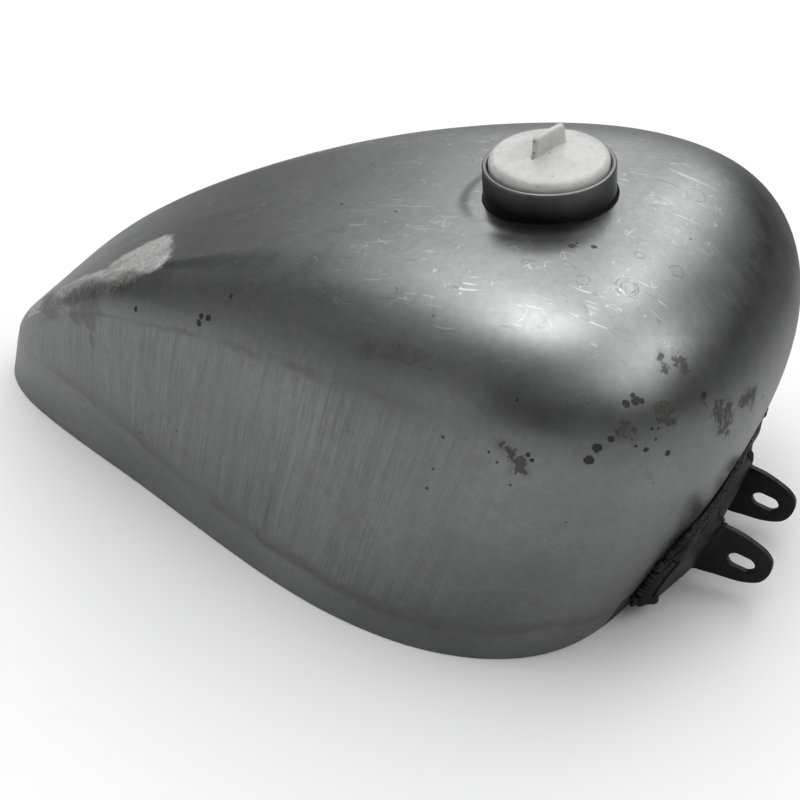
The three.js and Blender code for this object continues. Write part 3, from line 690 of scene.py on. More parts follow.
# single scratches: start, end
SCRATCHES = [
    ((21.1, -41.2, 167.2), (19.4, -26.3, 166.9)), ((25.3, -44.3, 168.3), (53.0, -64.2, 174.0)),
    ((23.1, -45.2, 167.8), (46.0, -32.6, 173.3)), ((67.5, -97.7, 162.8), (77.8, -106.4, 156.3)),
    ((192.0, 10.5, 160.8), (192.7, -13.6, 160.2)), ((177.6, -95.9, 149.0), (186.3, -87.8, 146.7)),
    ((44.9, -76.4, 169.4), (57.8, -78.3, 171.7)), ((31.8, -70.3, 167.9), (39.4, -76.4, 168.0)),
    ((-15.8, -27.7, 156.1), (-34.3, -33.8, 149.4)), ((-51.1, -20.9, 142.9), (-50.1, -6.4, 143.4)),
    ((-52.4, -22.6, 142.4), (-49.2, -12.0, 143.7)), ((143.4, -27.2, 182.7), (146.4, -9.7, 182.0)),
    ((122.5, -46.3, 183.0), (137.9, -49.7, 182.7))]
# fields of fine scratches: turn in degrees, scale along x and y, noise threshold
SCRATCH_FIELDS = [
    (12, 26.0, 640.0, 0.70), (-38, 30.0, 700.0, 0.71), (58, 34.0, 620.0, 0.705),
    (82, 40.0, 760.0, 0.70), (-70, 36.0, 680.0, 0.71)]
# short curled hairlines: cell scale, noise threshold
HAIRLINES = [(58.0, 0.55), (95.0, 0.57)]
# drawn lines: scales along, across and per side, detail, roughness, weight
DRAWN_LINES = [(820.0, 14.0, 3.0, 3.0, 0.6, 1.25), (2100.0, 60.0, 5.0, 2.0, 0.5, 1.0),
               (210.0, 8.0, 7.0, 2.0, 0.5, 0.65)]


# ------------------------------------------------------------------ sheet steel layers
def drawn_lines(tree, pos, x, line):
    """Lines running down the side panels, signed, and the zone they cover."""
    surface = tree.attribute("tk_st", "Vector")
    wobble = tree.noise(surface, 7.0)
    u, v, side = tree.separate(surface)
    slant = u + v * -0.16 + wobble * 0.006
    layers = []
    for along, across, per_side, detail, rough, weight in DRAWN_LINES:
        point = tree.add("ShaderNodeCombineXYZ",
                         {0: slant * along, 1: v * across, 2: side * per_side})
        layers.append((tree.noise(point, 1.0, detail=detail, rough=rough) - 0.5) * weight)
    limit = tree.attribute("tk_vl") + (tree.noise(pos, 70.0, detail=3) - 0.5) * 0.10
    zone = limit.ramp(0.05, -0.08) * line.ramp(0.002, 0.012) * x.ramp(0.16, 0.05)
    zone = zone * tree.noise(pos, 22.0).ramp(0.2, 0.55, low=0.35)
    return (layers[0] + (layers[1] + layers[2])) * zone, zone


def panel_limit(tree, pos, x):
    """Faint edge along the drawn panel's upper limit."""
    limit = tree.attribute("tk_vl") + (tree.noise(pos, 120.0, detail=4, rough=0.65) - 0.5) * 0.12
    band = limit.ramp(-0.05, -0.005) * limit.ramp(0.045, 0.0) * x.ramp(0.13, 0.02)
    return band * tree.noise(pos, 36.0, detail=3).ramp(0.35, 0.6, low=0.2)


# painted shade: a dark band drawn along the shallow groove above the lower edge
def groove_shade_line(tree, pos, line):
    height = line + (tree.noise(pos, 60.0, detail=3) - 0.5) * 0.008
    band = height.ramp(-0.0025, 0.001) * height.ramp(0.011, 0.001)
    return band * tree.noise(pos, 30.0, detail=3).ramp(0.3, 0.62, low=0.15)


def ground_patches(tree, pos, outer):
    """Mask, grinding marks and colour of the bright patches."""
    ragged = tree.noise(tree.mapping(pos, -28, (1.0, 0.5, 1.0)), 420.0, detail=3, rough=0.6)
    depth = tree.attribute("tk_ground") + (ragged - 0.42) * 0.008
    mask = depth.ramp(-0.0022, 0.0026) * outer
    marks = tree.noise(tree.mapping(pos, -28, (1.0, 0.38, 1.0)), 900.0, detail=4, rough=0.7)
    cloud = tree.noise(pos, 48.0)
    color = tree.mix(marks.ramp(0.32, 0.66), (0.48, 0.485, 0.48), (0.92, 0.92, 0.91))
    color = tree.mix(cloud.ramp(0.45, 0.66, high=0.7), color, (0.46, 0.465, 0.46))
    return mask, marks, color


def dirt_and_crease_shade(tree, pos, x, outer, across):
    """Combined mask of stains, specks, grime, smudges, painted crease shade, wipes and rings; depth
    in the water spots.
    """
    warp = tree.jitter(pos, 0.0018, scale=420.0, detail=2)
    spots = reduce(Signal.max, [tree.spot(warp, *spot) for spot in SPOTS])
    # broken stains, weaker behind the front part, each with a faint halo
    depth = reduce(Signal.max, [tree.spot(pos, *stain) for stain in STAINS])
    broken = (tree.noise(pos, 340.0, detail=4, rough=0.7) - 0.505) * 0.016
    stain = (depth.min(0.0012) + broken).ramp(-0.0004, 0.0007) * depth.ramp(-0.002, -0.0005)
    stain = stain * x.ramp(0.085, 0.11, low=0.42)
    halo = (depth.ramp(-0.004, 0.001)
            * tree.noise(pos, 160.0, detail=3, rough=0.6).ramp(0.35, 0.6))
    # sparse random specks
    distance = tree.voronoi(pos, 95.0)
    pick, size, _ = tree.separate(tree.voronoi(pos, 95.0, output="Color"))
    speck = (size * 0.10 - distance).ramp(0.0, 0.02) * pick.ramp(0.80, 0.83) * outer * 0.7
    wipes = reduce(Signal.max, [tree.capsule(warp, *streak) for streak in STREAKS])
    wipes = (wipes.ramp(0.0, 0.8)
             * tree.noise(pos, 300.0, detail=4, rough=0.7).ramp(0.3, 0.6, low=0.35))
    no_offset = (0.0, 0.0, 0.0)
    rings = reduce(Signal.min, [
        tree.math("ABSOLUTE", tree.spot(tree.vector("ADD", warp, no_offset), *ring))
        for ring in RINGS])
    rings = (rings.ramp(0.0005, 0.00015)
             * tree.noise(pos, 200.0, rough=0.6).ramp(0.38, 0.55))
    # grime towards the front edge
    grime = (x.ramp(0.172, 0.196)
             * tree.noise(pos, 62.0, detail=4, rough=0.65).ramp(0.44, 0.62)
             * across.ramp(1.25, 1.45) * outer)
    # broad faint mottled smudges on the lower side and the tail, with painted shade along the tail's
    # crease
    patchy = (tree.noise(pos, 75.0, detail=5, rough=0.7) - 0.5) * 1.1
    stain_and_crease_shade_parts = [(tree.capsule(pos, *line) + patchy).ramp(0.0, 0.75) * strength
               for *line, strength in SMUDGES_AND_CREASE_SHADE]
    stain_and_crease_shade_parts += [(tree.spot(pos, *ball) + patchy * 0.014).ramp(-0.001, 0.0035) * strength
                for *ball, strength in BLOTCHES]
    stain_and_crease_shade = (reduce(Signal.max, stain_and_crease_shade_parts)
              * tree.noise(pos, 260.0, detail=4, rough=0.7).ramp(0.30, 0.60, low=0.62))
    dark = reduce(Signal.max, [
        stain * 0.80, speck, grime * 0.38, stain_and_crease_shade, halo * 0.28, wipes * 0.62, rings * 0.42])
    return dark, spots


def scratches(tree, pos, outer, across):
    """Placed scratches, and fields of fine ones and curled hairlines on the top."""
    warp = tree.jitter(pos, 0.004, scale=60.0, detail=2)
    placed = reduce(Signal.max, [tree.capsule(warp, *ends, 0.45) for ends in SCRATCHES])
    fields = []
    for i, (turn, scale_x, scale_y, threshold) in enumerate(SCRATCH_FIELDS):
        point = tree.mapping(warp, turn, (scale_x, scale_y, 8.0), (0.3 * i, 0.17 * i, 0))
        fine = tree.noise(point, 1.0, detail=1, rough=0.4).ramp(threshold, threshold + 0.03)
        fields.append(fine * tree.noise(pos, 24.0 + 5 * i, rough=0.6).ramp(0.5, 0.62))
    for i, (scale, threshold) in enumerate(HAIRLINES):
        source = tree.vector("ADD", pos, (0.3 * i, 0.1, 0.2))
        curled = tree.jitter(pos, 0.022, scale=75.0, detail=3, rough=0.6, source=source)
        hair = tree.voronoi(curled, scale, feature="DISTANCE_TO_EDGE").ramp(0.022, 0.006)
        patch = tree.noise(tree.vector("ADD", pos, (0.7, 0.4 * i, 0.0)), 110.0, rough=0.6)
        fields.append(hair * patch.ramp(threshold, threshold + 0.05) * 0.9)
    field = reduce(Signal.max, fields) * across.ramp(1.2, 1.8) * outer
    return placed.max(field * 0.8)


def sheet_layers(tree, pos, base, rough, height):
    """Everything the tank's own attributes place on the plain steel."""
    outer, line, across = (tree.attribute(name) for name in ("tk_outer", "tk_line", "tk_v"))
    x = tree.separate(pos)[0]
    lines, zone = drawn_lines(tree, pos, x, line)
    dips = tree.math("MULTIPLY", (lines * -1.0).max(0.0), 0.95, clamp=True)
    crests = tree.math("MULTIPLY", lines.max(0.0), 0.8, clamp=True)
    base = tree.mix(dips, base, (0.12, 0.122, 0.12))
    base = tree.mix(crests, base, (0.50, 0.505, 0.50))
    base = tree.mix(panel_limit(tree, pos, x) * 0.35, base, (0.12, 0.118, 0.115))
    # painted shade along the groove above the lower edge
    base = tree.mix(groove_shade_line(tree, pos, line) * 0.38, base, (0.105, 0.1, 0.096))

    ground, marks, ground_color = ground_patches(tree, pos, outer)
    base = tree.mix(ground * 0.92, base, ground_color)
    rough = tree.mix_float(ground, rough, 0.5 + marks * 0.12)

    dark, depth = dirt_and_crease_shade(tree, pos, x, outer, across)
    spot = depth.ramp(-0.00035, 0.00035)
    spot_color = tree.mix(depth.ramp(0.0009, 0.0001), (0.074, 0.073, 0.071),
                          (0.058, 0.056, 0.054))
    # dirt marks darken the steel, together with the painted shade along the tail's crease
    base = tree.mix(dark * 0.92, base, (0.07, 0.068, 0.065))
    base = tree.mix(spot * 0.96, base, spot_color)
    rough = tree.mix_float(dark.max(spot), rough, 0.5)

    # scratches are dark in some places and bright in others
    scratch = scratches(tree, pos, outer, across)
    bright = tree.noise(pos, 70.0, detail=1).ramp(0.47, 0.53)
    scratch_color = tree.mix(bright, (0.15, 0.15, 0.15), (0.74, 0.74, 0.74))
    base = tree.mix(scratch * 0.55, base, scratch_color)
    rough = tree.mix_float(scratch * 0.6, rough, 0.3)
    height = height + lines * 0.55 + ground * marks * 0.9
    rough = rough + zone * 0.06 * 1.0

    # black overspray round the brackets
    paint = (tree.attribute("tk_black")
             + (tree.noise(pos, 150.0, detail=4, rough=0.65) - 0.5) * 0.010)
    paint = paint.ramp(-0.0030, 0.0010) * outer
    base = tree.mix(paint, base, (0.017, 0.017, 0.0165))
    return base, tree.mix_float(paint, rough, 0.5), height, 1.0 - paint


# ------------------------------------------------------------------ materials
def raw_steel(name, sheet):
    material, tree, pos = new_material(name)
    cloud = tree.noise(pos, 14.0, detail=4, rough=0.55)
    blot = tree.noise(pos, 55.0, detail=3, rough=0.6)
    fine = tree.noise(pos, 900.0, detail=3, rough=0.65)
    grain = tree.noise(pos, 240.0, detail=4, rough=0.7)
    base = tree.mix(cloud.ramp(0.3, 0.7), (0.292, 0.300, 0.297), (0.345, 0.352, 0.349))
    base = tree.mix(blot.ramp(0.52, 0.75) * 0.25, base, (0.24, 0.242, 0.237))
    base = tree.mix(grain.ramp(0.62, 0.40) * 0.30, base, (0.235, 0.238, 0.234))
    rough = 0.30 + (blot - 0.5) * 0.14 + (fine - 0.5) * 0.10
    height, metallic = fine * 0.25, 1.0
    if sheet:
        base, rough, height, metallic = sheet_layers(tree, pos, base, rough, height)
    shade(tree, base, rough, Metallic=metallic,
          Normal=tree.bump(height, strength=0.35, distance=0.00012))
    return material


def dark_steel(name, low, high, rough, rim=None):
    """Blackened steel; rim is the colour worn bare on the neck's upper edge, and with it the wall
    gets painted shade, near black at its foot.
    """
    material, tree, pos = new_material(name)
    patches = tree.noise(pos, 90.0, detail=3, rough=0.6)
    fine = tree.noise(pos, 900.0, detail=3, rough=0.6)
    cloud = tree.noise(pos, 26.0)
    base = tree.mix(patches.ramp(0.35, 0.68), low, high)
    base = tree.mix(cloud.ramp(0.5, 0.7) * 0.35, base, tuple(0.7 * c for c in low))
    rough = rough + (fine - 0.5) * 0.14
    if rim is not None:
        # painted shade: the neck wall is near black at its foot and lighter towards the top
        height = tree.separate(pos)[2] + (patches - 0.5) * 0.002
        foot_shade_fade = height.ramp(NECK_Z * MM + 0.0030, (NECK_Z + NECK_H + 0.5) * MM)
        base = tree.mix(foot_shade_fade, (0.016, 0.016, 0.0155), tree.mix(0.5, base, (0.30, 0.302, 0.30)))
        worn = (tree.attribute("tk_edge") + (patches - 0.5) * 0.7).ramp(0.3, 0.95)
        base = tree.mix(worn, base, rim)
        rough = tree.mix_float(worn, rough, 0.3)
    shade(tree, base, rough, Metallic=0.9,
          Normal=tree.bump(fine * 0.5, strength=0.3, distance=0.00015))
    return material


def black_paint(name):
    material, tree, pos = new_material(name)
    patches = tree.noise(pos, 160.0, detail=4, rough=0.65)
    fine = tree.noise(pos, 1300.0, rough=0.6)
    cloud = tree.noise(pos, 45.0, detail=3, rough=0.6)
    base = tree.mix(patches.ramp(0.4, 0.72), (0.0085, 0.0085, 0.0083), (0.0150, 0.0150, 0.0147))
    wear = (tree.attribute("tk_edge") + (patches - 0.5) * 1.1).ramp(0.80, 1.05)
    base = tree.mix(wear * 0.22, base, (0.12, 0.12, 0.118))
    shade(tree, base, 0.42 + (cloud - 0.5) * 0.3, Metallic=wear * 0.3, Specular_IOR_Level=0.26,
          Normal=tree.bump(fine * 0.5 + patches * 0.8, strength=0.35, distance=0.0003))
    return material


def white_plastic(name, specks):
    material, tree, pos = new_material(name)
    cloud = tree.noise(pos, 40.0, detail=3, rough=0.6)
    fine = tree.noise(pos, 700.0, detail=3, rough=0.6)
    swirl = tree.noise(pos, 120.0, rough=0.6, distortion=1.5)
    dents = tree.noise(pos, 75.0, detail=3, rough=0.6)
    base = tree.mix(cloud.ramp(0.35, 0.65), (0.60, 0.605, 0.59), (0.50, 0.505, 0.49))
    base = tree.mix(dents.ramp(0.46, 0.62) * 0.45, base, (0.68, 0.685, 0.67))
    base = tree.mix(swirl.ramp(0.52, 0.72) * 0.35, base, (0.40, 0.40, 0.385))
    grime = (tree.noise(pos, 420.0, detail=4, rough=0.7).ramp(0.56, 0.66)
             * tree.noise(pos, 60.0).ramp(0.52, 0.64))
    base = tree.mix(grime * 0.35, base, (0.20, 0.195, 0.185))
    # random dirt specks and the placed ones
    distance = tree.voronoi(pos, 260.0)
    pick = tree.separate(tree.voronoi(pos, 260.0, output="Color"))[0]
    dirt_mask = distance.ramp(0.16, 0.08) * pick.ramp(0.93, 0.95)
    for speck in specks:
        warp = tree.jitter(pos, 0.0014, scale=900.0, detail=2)
        dirt_mask = dirt_mask.max(tree.spot(warp, *speck).ramp(-0.0002, 0.0003) * 0.8)
    base = tree.mix(dirt_mask * 0.8, base, (0.10, 0.095, 0.09))
    height = fine * 0.30 + (swirl * 1.2 + dents * 1.6)
    shade(tree, base, 0.20 + (swirl - 0.5) * 0.25, Subsurface_Weight=0.4,
          Subsurface_Radius=(1.0, 1.0, 0.95), Subsurface_Scale=0.004, Specular_IOR_Level=0.45,
          Normal=tree.bump(height, strength=0.45, distance=0.0004))
    return material


def mottled(name, low, high, rough, metallic=0.0, scale=120.0, bump=0.3):
    material, tree, pos = new_material(name)
    patches = tree.noise(pos, scale, detail=4, rough=0.6)
    fine = tree.noise(pos, scale * 8, detail=3, rough=0.6)
    shade(tree, tree.mix(patches.ramp(0.35, 0.68), low, high), rough + (fine - 0.5) * 0.2,
          Metallic=metallic, Normal=tree.bump(fine, strength=bump, distance=0.0002))
    return material


def place(verts):
    """From the neck's own frame, z up its axis, to the body frame."""
    x, y, z = np.asarray(verts, float).T
    cos, sin = math.cos(math.radians(NECK_TILT)), math.sin(math.radians(NECK_TILT))
    return np.stack([x * cos + z * sin + NECK_X, y, -x * sin + z * cos + NECK_Z], -1)


FIN_COS, FIN_SIN = math.cos(math.radians(FIN_TURN)), math.sin(math.radians(FIN_TURN))
# dirt specks on the plug, neck frame: x, y, z, radius; three on the fin's end, one on the disc
PLUG_SPECKS = [(-FIN_COS * reach, -FIN_SIN * reach, PLUG_TOP + rise, radius)
               for reach, rise, radius in ((10.5, 5.0, 0.9), (10.2, 10.4, 0.9), (11.4, 2.4, 0.8))]
PLUG_SPECKS.append((5.5, -26.5, PLUG_TOP - 2.0, 0.6))


def row_specks():
    """The specks in the row frame, mm."""
    points = place([speck[:3] for speck in PLUG_SPECKS]) + np.array([SHIFT, 0, 0])
    return [(*point, speck[3]) for point, speck in zip(points, PLUG_SPECKS)]


M_STEEL = raw_steel("raw_pressed_steel", sheet=True)
M_STEEL_PLAIN = raw_steel("raw_sheet_steel", sheet=False)
M_NECK = dark_steel("neck_steel", (0.078, 0.079, 0.079), (0.112, 0.113, 0.113), rough=0.32,
                    rim=(0.24, 0.24, 0.236))
M_WELD = dark_steel("weld_metal", (0.03, 0.03, 0.03), (0.07, 0.068, 0.066), rough=0.5)
# painted shadow: the fillet at the neck's foot is near black, for the shade where the neck meets the
# sheet
M_FOOT_SHADOW = dark_steel("neck_foot_braze_shadow", (0.010, 0.010, 0.010), (0.020, 0.0195, 0.019), rough=0.75)
M_BLACK = black_paint("black_bracket_paint")
M_PLUG = white_plastic("natural_plastic", row_specks())
M_SEAL = mottled("seal_rubber", (0.012, 0.012, 0.012), (0.022, 0.022, 0.022), rough=0.6)
M_CAP = mottled("cap_plastic", (0.36, 0.02, 0.016), (0.42, 0.028, 0.02), rough=0.42, scale=60.0,
                bump=0.15)
M_BUNG = mottled("turned_steel", (0.36, 0.36, 0.35), (0.5, 0.5, 0.49), rough=0.32, metallic=1.0,
                 scale=200.0)

# ------------------------------------------------------------------ skins
for side, name, node in ((1, "left_half_skin", "left_half"), (-1, "right_half_skin", "right_half")):
    mesh, attributes = half_skin(side)
    build(name, node, mesh, M_STEEL, sharp=50, **attributes)


# ------------------------------------------------------------------ neck
def thread(base_r, crest_r, start_z, turns, segments=72):
    """Helical ridge, running out at both ends."""
    root_width, crest_width = 2.4, 0.9
    count = int(round(segments * turns))
    verts = []
    for i in range(count + 1):
        run = min(1, i / (segments * 0.2), (count - i) / (segments * 0.2))
        turn, z = 2 * math.pi * i / segments, start_z + PITCH * i / segments
        crest = base_r + (crest_r - base_r) * (0.05 + 0.95 * run)
        for r, dz in ((base_r, -root_width / 2), (base_r, root_width / 2),
                      (crest, crest_width / 2), (crest, -crest_width / 2)):
            verts.append((r * math.cos(turn), r * math.sin(turn), z + dz))
    return tube(verts, 4)


def neck_tube():
    profile = round_profile(
        [(NECK_R, -NECK_BELOW), (NECK_R, 2.0), (NECK_R, NECK_H - 4.0), (NECK_R, NECK_H - 2.6),
         (NECK_R, NECK_H - 1.9), (NECK_R, NECK_H), (NECK_BORE, NECK_H), (NECK_BORE, SEAT_Z),
         (NECK_ROOT, SEAT_Z), (NECK_ROOT, -NECK_BELOW), (NECK_R, -NECK_BELOW)],
        [0.3, 0, 0, 0, 0, 1.3, 1.25, 0.2, 0.4, 0.3], steps=7)
    verts, faces = merge(lathe(profile, 144),
                         thread(NECK_ROOT + 0.5, NECK_MINOR, THREAD_Z, turns=2.2))
    edge = smooth((verts[:, 2] - (NECK_H - 1.5)) / 1.2)
    build("filler_neck_tube", "filler_neck", (place(verts), faces), M_NECK, sharp=40, tk_edge=edge)


def neck_foot():
    """Fillet weld at the foot of the neck, near black as painted shadow where the neck meets the
    sheet.
    """
    verts, faces = [], []
    segments, fillet_points = 240, 9
    base_r = NECK_R - 0.4
    for i in range(segments):
        turn = 2 * math.pi * i / segments
        lump = 1 + 0.035 * math.sin(i * 0.55) + 0.02 * math.sin(i * 1.1 + 1.0)
        section = []
        for k in range(fillet_points):
            s = k / (fillet_points - 1)
            section.append((base_r + 1.5 * lump * s, 1.25 * lump * (1 - s) ** 1.6 + 0.02))
        for r, lift in section + [(base_r, -0.9)]:
            x, y = NECK_X + r * math.cos(turn), r * math.sin(turn)
            verts.append((x, y, float(top_z(x, y) + platform(x, y)) + lift))
    size = fillet_points + 1
    for i in range(segments):
        a, b = i * size, (i + 1) % segments * size
        for k in range(size):
            n = (k + 1) % size
            faces.append((a + k, b + k, b + n, a + n))
    build("neck_foot_weld_shadow", "neck_weld", outward(verts, faces), M_FOOT_SHADOW, sharp=60)


neck_tube()
neck_foot()


# ------------------------------------------------------------------ plug
def plug_fin():
    """Tapered slab with rounded corners, standing on the disc."""
    verts = []
    for z, scale in ((-2.6, 1.12), (1.2, 1.10), (2.0, 1.04), (4.0, 1.0), (9.6, 0.955),
                     (11.1, 0.93), (11.9, 0.86), (12.2, 0.72)):
        half_l = FIN_L * scale / 2
        half_t = FIN_T * (scale * (1 - 0.25 * max(0.0, z - 10.6))) / 2
        r = min(half_t * 0.85, 1.4)
        for sign_x, sign_y, start in ((1, 1, 0), (-1, 1, 90), (-1, -1, 180), (1, -1, 270)):
            for k in range(5):
                t = math.radians(start + k * 22.5)
                x = sign_x * (half_l - r) + r * math.cos(t)
                y = sign_y * (half_t - r) + r * math.sin(t)
                verts.append((x * FIN_COS - y * FIN_SIN, x * FIN_SIN + y * FIN_COS,
                              z + PLUG_TOP + 0.2))
    return tube(verts, 20)


def shipping_plug():
    """Moulded disc, fin and threaded skirt, fused by remeshing."""
    inner_r, skirt_end = SKIRT_R - SKIRT_WALL, DISC_Z - SKIRT_H
    profile = round_profile(
        [(0, PLUG_TOP + 3.0), (7, PLUG_TOP + 2.8), (13, PLUG_TOP + 2.0), (19, PLUG_TOP + 0.9),
         (PLUG_R - 0.2, PLUG_TOP - 0.2), (PLUG_R, DISC_Z), (SKIRT_R, DISC_Z),
         (SKIRT_R, skirt_end), (inner_r, skirt_end), (inner_r, PLUG_TOP - 3.2),
         (0, PLUG_TOP - 3.2)],
        [0, 0, 0, 0, 3.4, 0.4, 0.3, 0.5, 0.5, 0.6, 0], steps=7)
    verts, faces = merge(
        lathe(profile, 128), plug_fin(),
        thread(SKIRT_R - 0.5, PLUG_MAJOR, THREAD_Z + 1.5 * PITCH, turns=1.8))
    plug = build("shipping_plug_moulding", "shipping_plug", (place(verts), faces), M_PLUG,
                 sharp=None, body="plug")
    fuse = plug.modifiers.new("fuse", "REMESH")
    fuse.mode = "VOXEL"
    fuse.voxel_size = 0.00042
    fuse.use_smooth_shade = True
    soften = plug.modifiers.new("soften", "SMOOTH")
    soften.factor, soften.iterations = 0.5, 6
    for modifier in list(plug.modifiers):
        with bpy.context.temp_override(object=plug, active_object=plug, selected_objects=[plug]):
            bpy.ops.object.modifier_apply(modifier=modifier.name)


def seal_ring():
    outer_r, inner_r, low = NECK_BORE - 0.4, NECK_ROOT - 0.6, SEAT_Z + 0.15
    profile = round_profile(
        [(outer_r, low), (outer_r, low + SEAL_T), (inner_r, low + SEAL_T), (inner_r, low),
         (outer_r, low)], [0.5] * 4, steps=5)
    verts, faces = lathe(profile, 128)
    build("neck_seal_ring", "neck_seal", (place(verts), faces), M_SEAL, sharp=60, body="seal")


shipping_plug()
seal_ring()


# ------------------------------------------------------------------ front bracket surfaces
def lip_top(y):
    return LIP_TOP + (LIP_END - LIP_TOP) * min(1.0, max(0.0, (abs(y) - 56) / (FLANGE_Y - 56)))


def plate_x(y, z):
    """Back face of the plates: straight across the middle, legs turning onto the skin at their
    ends, upper edge leaning back onto it."""
    y, low_z = abs(y), min(z, ROOT_Z1)
    root_x = ROOT_X0 + (ROOT_X1 - ROOT_X0) * (low_z - ROOT_Z0) / (ROOT_Z1 - ROOT_Z0) - EAR_T
    offset = max(0.0, root_x - nose_x(min(y, EAR_Y), low_z) - PLATE_GAP)
    out = (0.42 * min(1.0, max(0.0, (y - EAR_Y) / (RETURN_Y - EAR_Y)))
           + 0.58 * float(smooth((y - RETURN_Y) / (FLANGE_Y - RETURN_Y))))
    lean = (float(smooth((z - ROOT_Z1) / (LIP_Z - ROOT_Z1)))
            * (1 - 0.5 * float(smooth((y - 45) / 9))))
    return nose_x(y, z) + PLATE_GAP + offset * (1 - out) * (1 - lean)


def bow(side, y, z):
    """The left leg is bent a little further off the skin than the right one."""
    y, z = np.abs(y), np.asarray(z, float)
    if side < 0:
        return 0.0 * y
    return 3.0 * smooth((y - 40) / 14) * (1 - smooth((y - 60) / 6)) * smooth((z - 22) / 14)


@lru_cache(None)
def bracket_path(z):
    """Middle plane of a bracket in plan: bend start x, points (x, |y|), arc length from the bend."""
    def middle(y):
        return plate_x(y, z) + EAR_T / 2

    bend_x = middle(EAR_Y + BEND_R) + BEND_R
    points = []
    for k in range(9):
        a = math.pi / 2 * k / 8
        points.append((bend_x - BEND_R * math.sin(a), EAR_Y + BEND_R * (1 - math.cos(a))))
    points += [(middle(y), y) for y in np.linspace(EAR_Y + BEND_R, FLANGE_Y, 30)[1:]]
    points = np.array(points)
    steps = np.linalg.norm(np.diff(points, axis=0), axis=1)
    return bend_x, points, np.concatenate([[0], np.cumsum(steps)])


def bracket_surface(side):
    """Maps the flat pattern (s, z), s negative on the ear, to a point and its normal."""
    def path(z):
        return bracket_path(min(max(round(float(z), 2), ROOT_Z0 - 3), LIP_TOP + 3))

    def point(s, z):
        bend_x, points, length = path(z)
        if s <= 0:
            return np.array([bend_x - s, EAR_Y * side, z])
        return np.array([np.interp(s, length, points[:, 0]),
                         np.interp(s, length, points[:, 1]) * side, z])

    def surface(s, z):
        p = point(s, z)
        if s <= -0.3:
            return p, np.array([0.0, float(side), 0.0])
        e = min(s, path(z)[2][-1] - 0.3)
        n = np.cross(point(e + 0.25, z) - point(e - 0.25, z),
                     point(e, z + 0.5) - point(e, z - 0.5))
        n /= np.linalg.norm(n) + 1e-12
        # outboard at the ear, to the back at the leg
        reference = np.array([-1.0, float(side), 0.0])
        return p, (n if n @ reference > 0 else -n)
    return surface


def cross_surface(y, z):
    """Maps (y, z) to the middle plane of the plate between the ears and its normal."""
    n = np.cross(np.array([plate_x(y + 0.3, z) - plate_x(y - 0.3, z), 0.6, 0]),
                 np.array([plate_x(y, z + 0.5) - plate_x(y, z - 0.5), 0, 1.0]))
    return np.array([plate_x(y, z) + EAR_T / 2, y, z]), n / np.linalg.norm(n)


# ------------------------------------------------------------------ bent plates
def inset(poly, distance):
    """Outline moved to its left."""
    to_here, to_next = poly - np.roll(poly, 1, 0), np.roll(poly, -1, 0) - poly
    n1, n2 = (np.stack([-e[:, 1], e[:, 0]], -1) / (np.linalg.norm(e, axis=1)[:, None] + 1e-9)
              for e in (to_here, to_next))
    n = n1 + n2
    n /= np.linalg.norm(n, axis=1)[:, None] + 1e-9
    cos = np.maximum((n * n1).sum(1), 0.5)
    return poly + n * (distance / cos)[:, None]


def area(poly):
    x, y = poly.T
    return 0.5 * float((x * np.roll(y, -1) - np.roll(x, -1) * y).sum())


def bent_plate(outline, holes, surface, thick=EAR_T, edge_r=0.45, grid=1.8):
    """Plate from a flat pattern, mapped by surface(s, z), with rounded edges. Returns vertices,
    faces and an edge mask."""
    outline = np.array(outline)
    loops = [outline if area(outline) > 0 else outline[::-1]]
    for hole in map(np.array, holes):
        loops.append(hole if area(hole) < 0 else hole[::-1])
    insets = [inset(loop, edge_r) for loop in loops]

    def inside(points, margin):
        ok = poly_dist(points, insets[0]) < -margin
        for hole in insets[1:]:
            ok &= poly_dist(points, hole) > margin
        return ok

    points, edges = [], []
    for loop in insets:
        first, count = len(points), len(loop)
        points += [tuple(p) for p in loop]
        edges += [(first + i, first + (i + 1) % count) for i in range(count)]
    low, high = loops[0].min(0), loops[0].max(0)
    grid_s, grid_z = np.meshgrid(np.arange(low[0] + grid, high[0], grid),
                                 np.arange(low[1] + grid, high[1], grid))
    filling = np.stack([grid_s.ravel(), grid_z.ravel()], -1)
    points += [tuple(p) for p in filling[inside(filling, grid * 0.55)]]
    flat, _, triangles, origins, _, _ = delaunay_2d_cdt(
        [Vector(p) for p in points], edges, [], 0, 1e-7)
    flat = np.array([tuple(v) for v in flat])
    new_index = {old: new for new, olds in enumerate(origins) for old in olds}
    centres = np.array([flat[list(f)].mean(0) for f in triangles])
    kept = [list(f) for f, good in zip(triangles, inside(centres, 0)) if good]
    kept = [tuple(f if area(flat[f]) > 0 else f[::-1]) for f in kept]

    count = len(flat)
    mapped = [surface(s, z) for s, z in flat]
    verts = [np.array([p + n * thick / 2 for p, n in mapped]),
             np.array([p - n * thick / 2 for p, n in mapped])]
    faces = kept + [tuple(i + count for i in reversed(f)) for f in kept]
    # rings over the rounded edge: drop below the face, share of the way out, which face
    upper = [(1 - math.cos(a), math.sin(a), 1) for a in (0.55, 1.05, 1.5708)]
    lower = [(drop, out, -1) for drop, out, _ in reversed(upper)]
    total, offset = 2 * count, 0
    for loop, inner in zip(loops, insets):
        n = len(loop)
        rows = [[new_index[offset + i] for i in range(n)]]
        for drop, out, sign in upper + lower:
            ring = [surface(s, z) for s, z in inner + (loop - inner) * out]
            lift = sign * (thick / 2 - edge_r * drop)
            verts.append(np.array([p + normal * lift for p, normal in ring]))
            rows.append(list(range(total, total + n)))
            total += n
        rows.append([i + count for i in rows[0]])
        for a, b in zip(rows[:-1], rows[1:]):
            for i in range(n):
                j = (i + 1) % n
                faces.append((a[j], a[i], b[i], b[j]))
        offset += n
    edge = np.ones(total)
    edge[:2 * count] = 0
    verts, faces = outward(np.concatenate(verts), faces)
    return verts, faces, edge


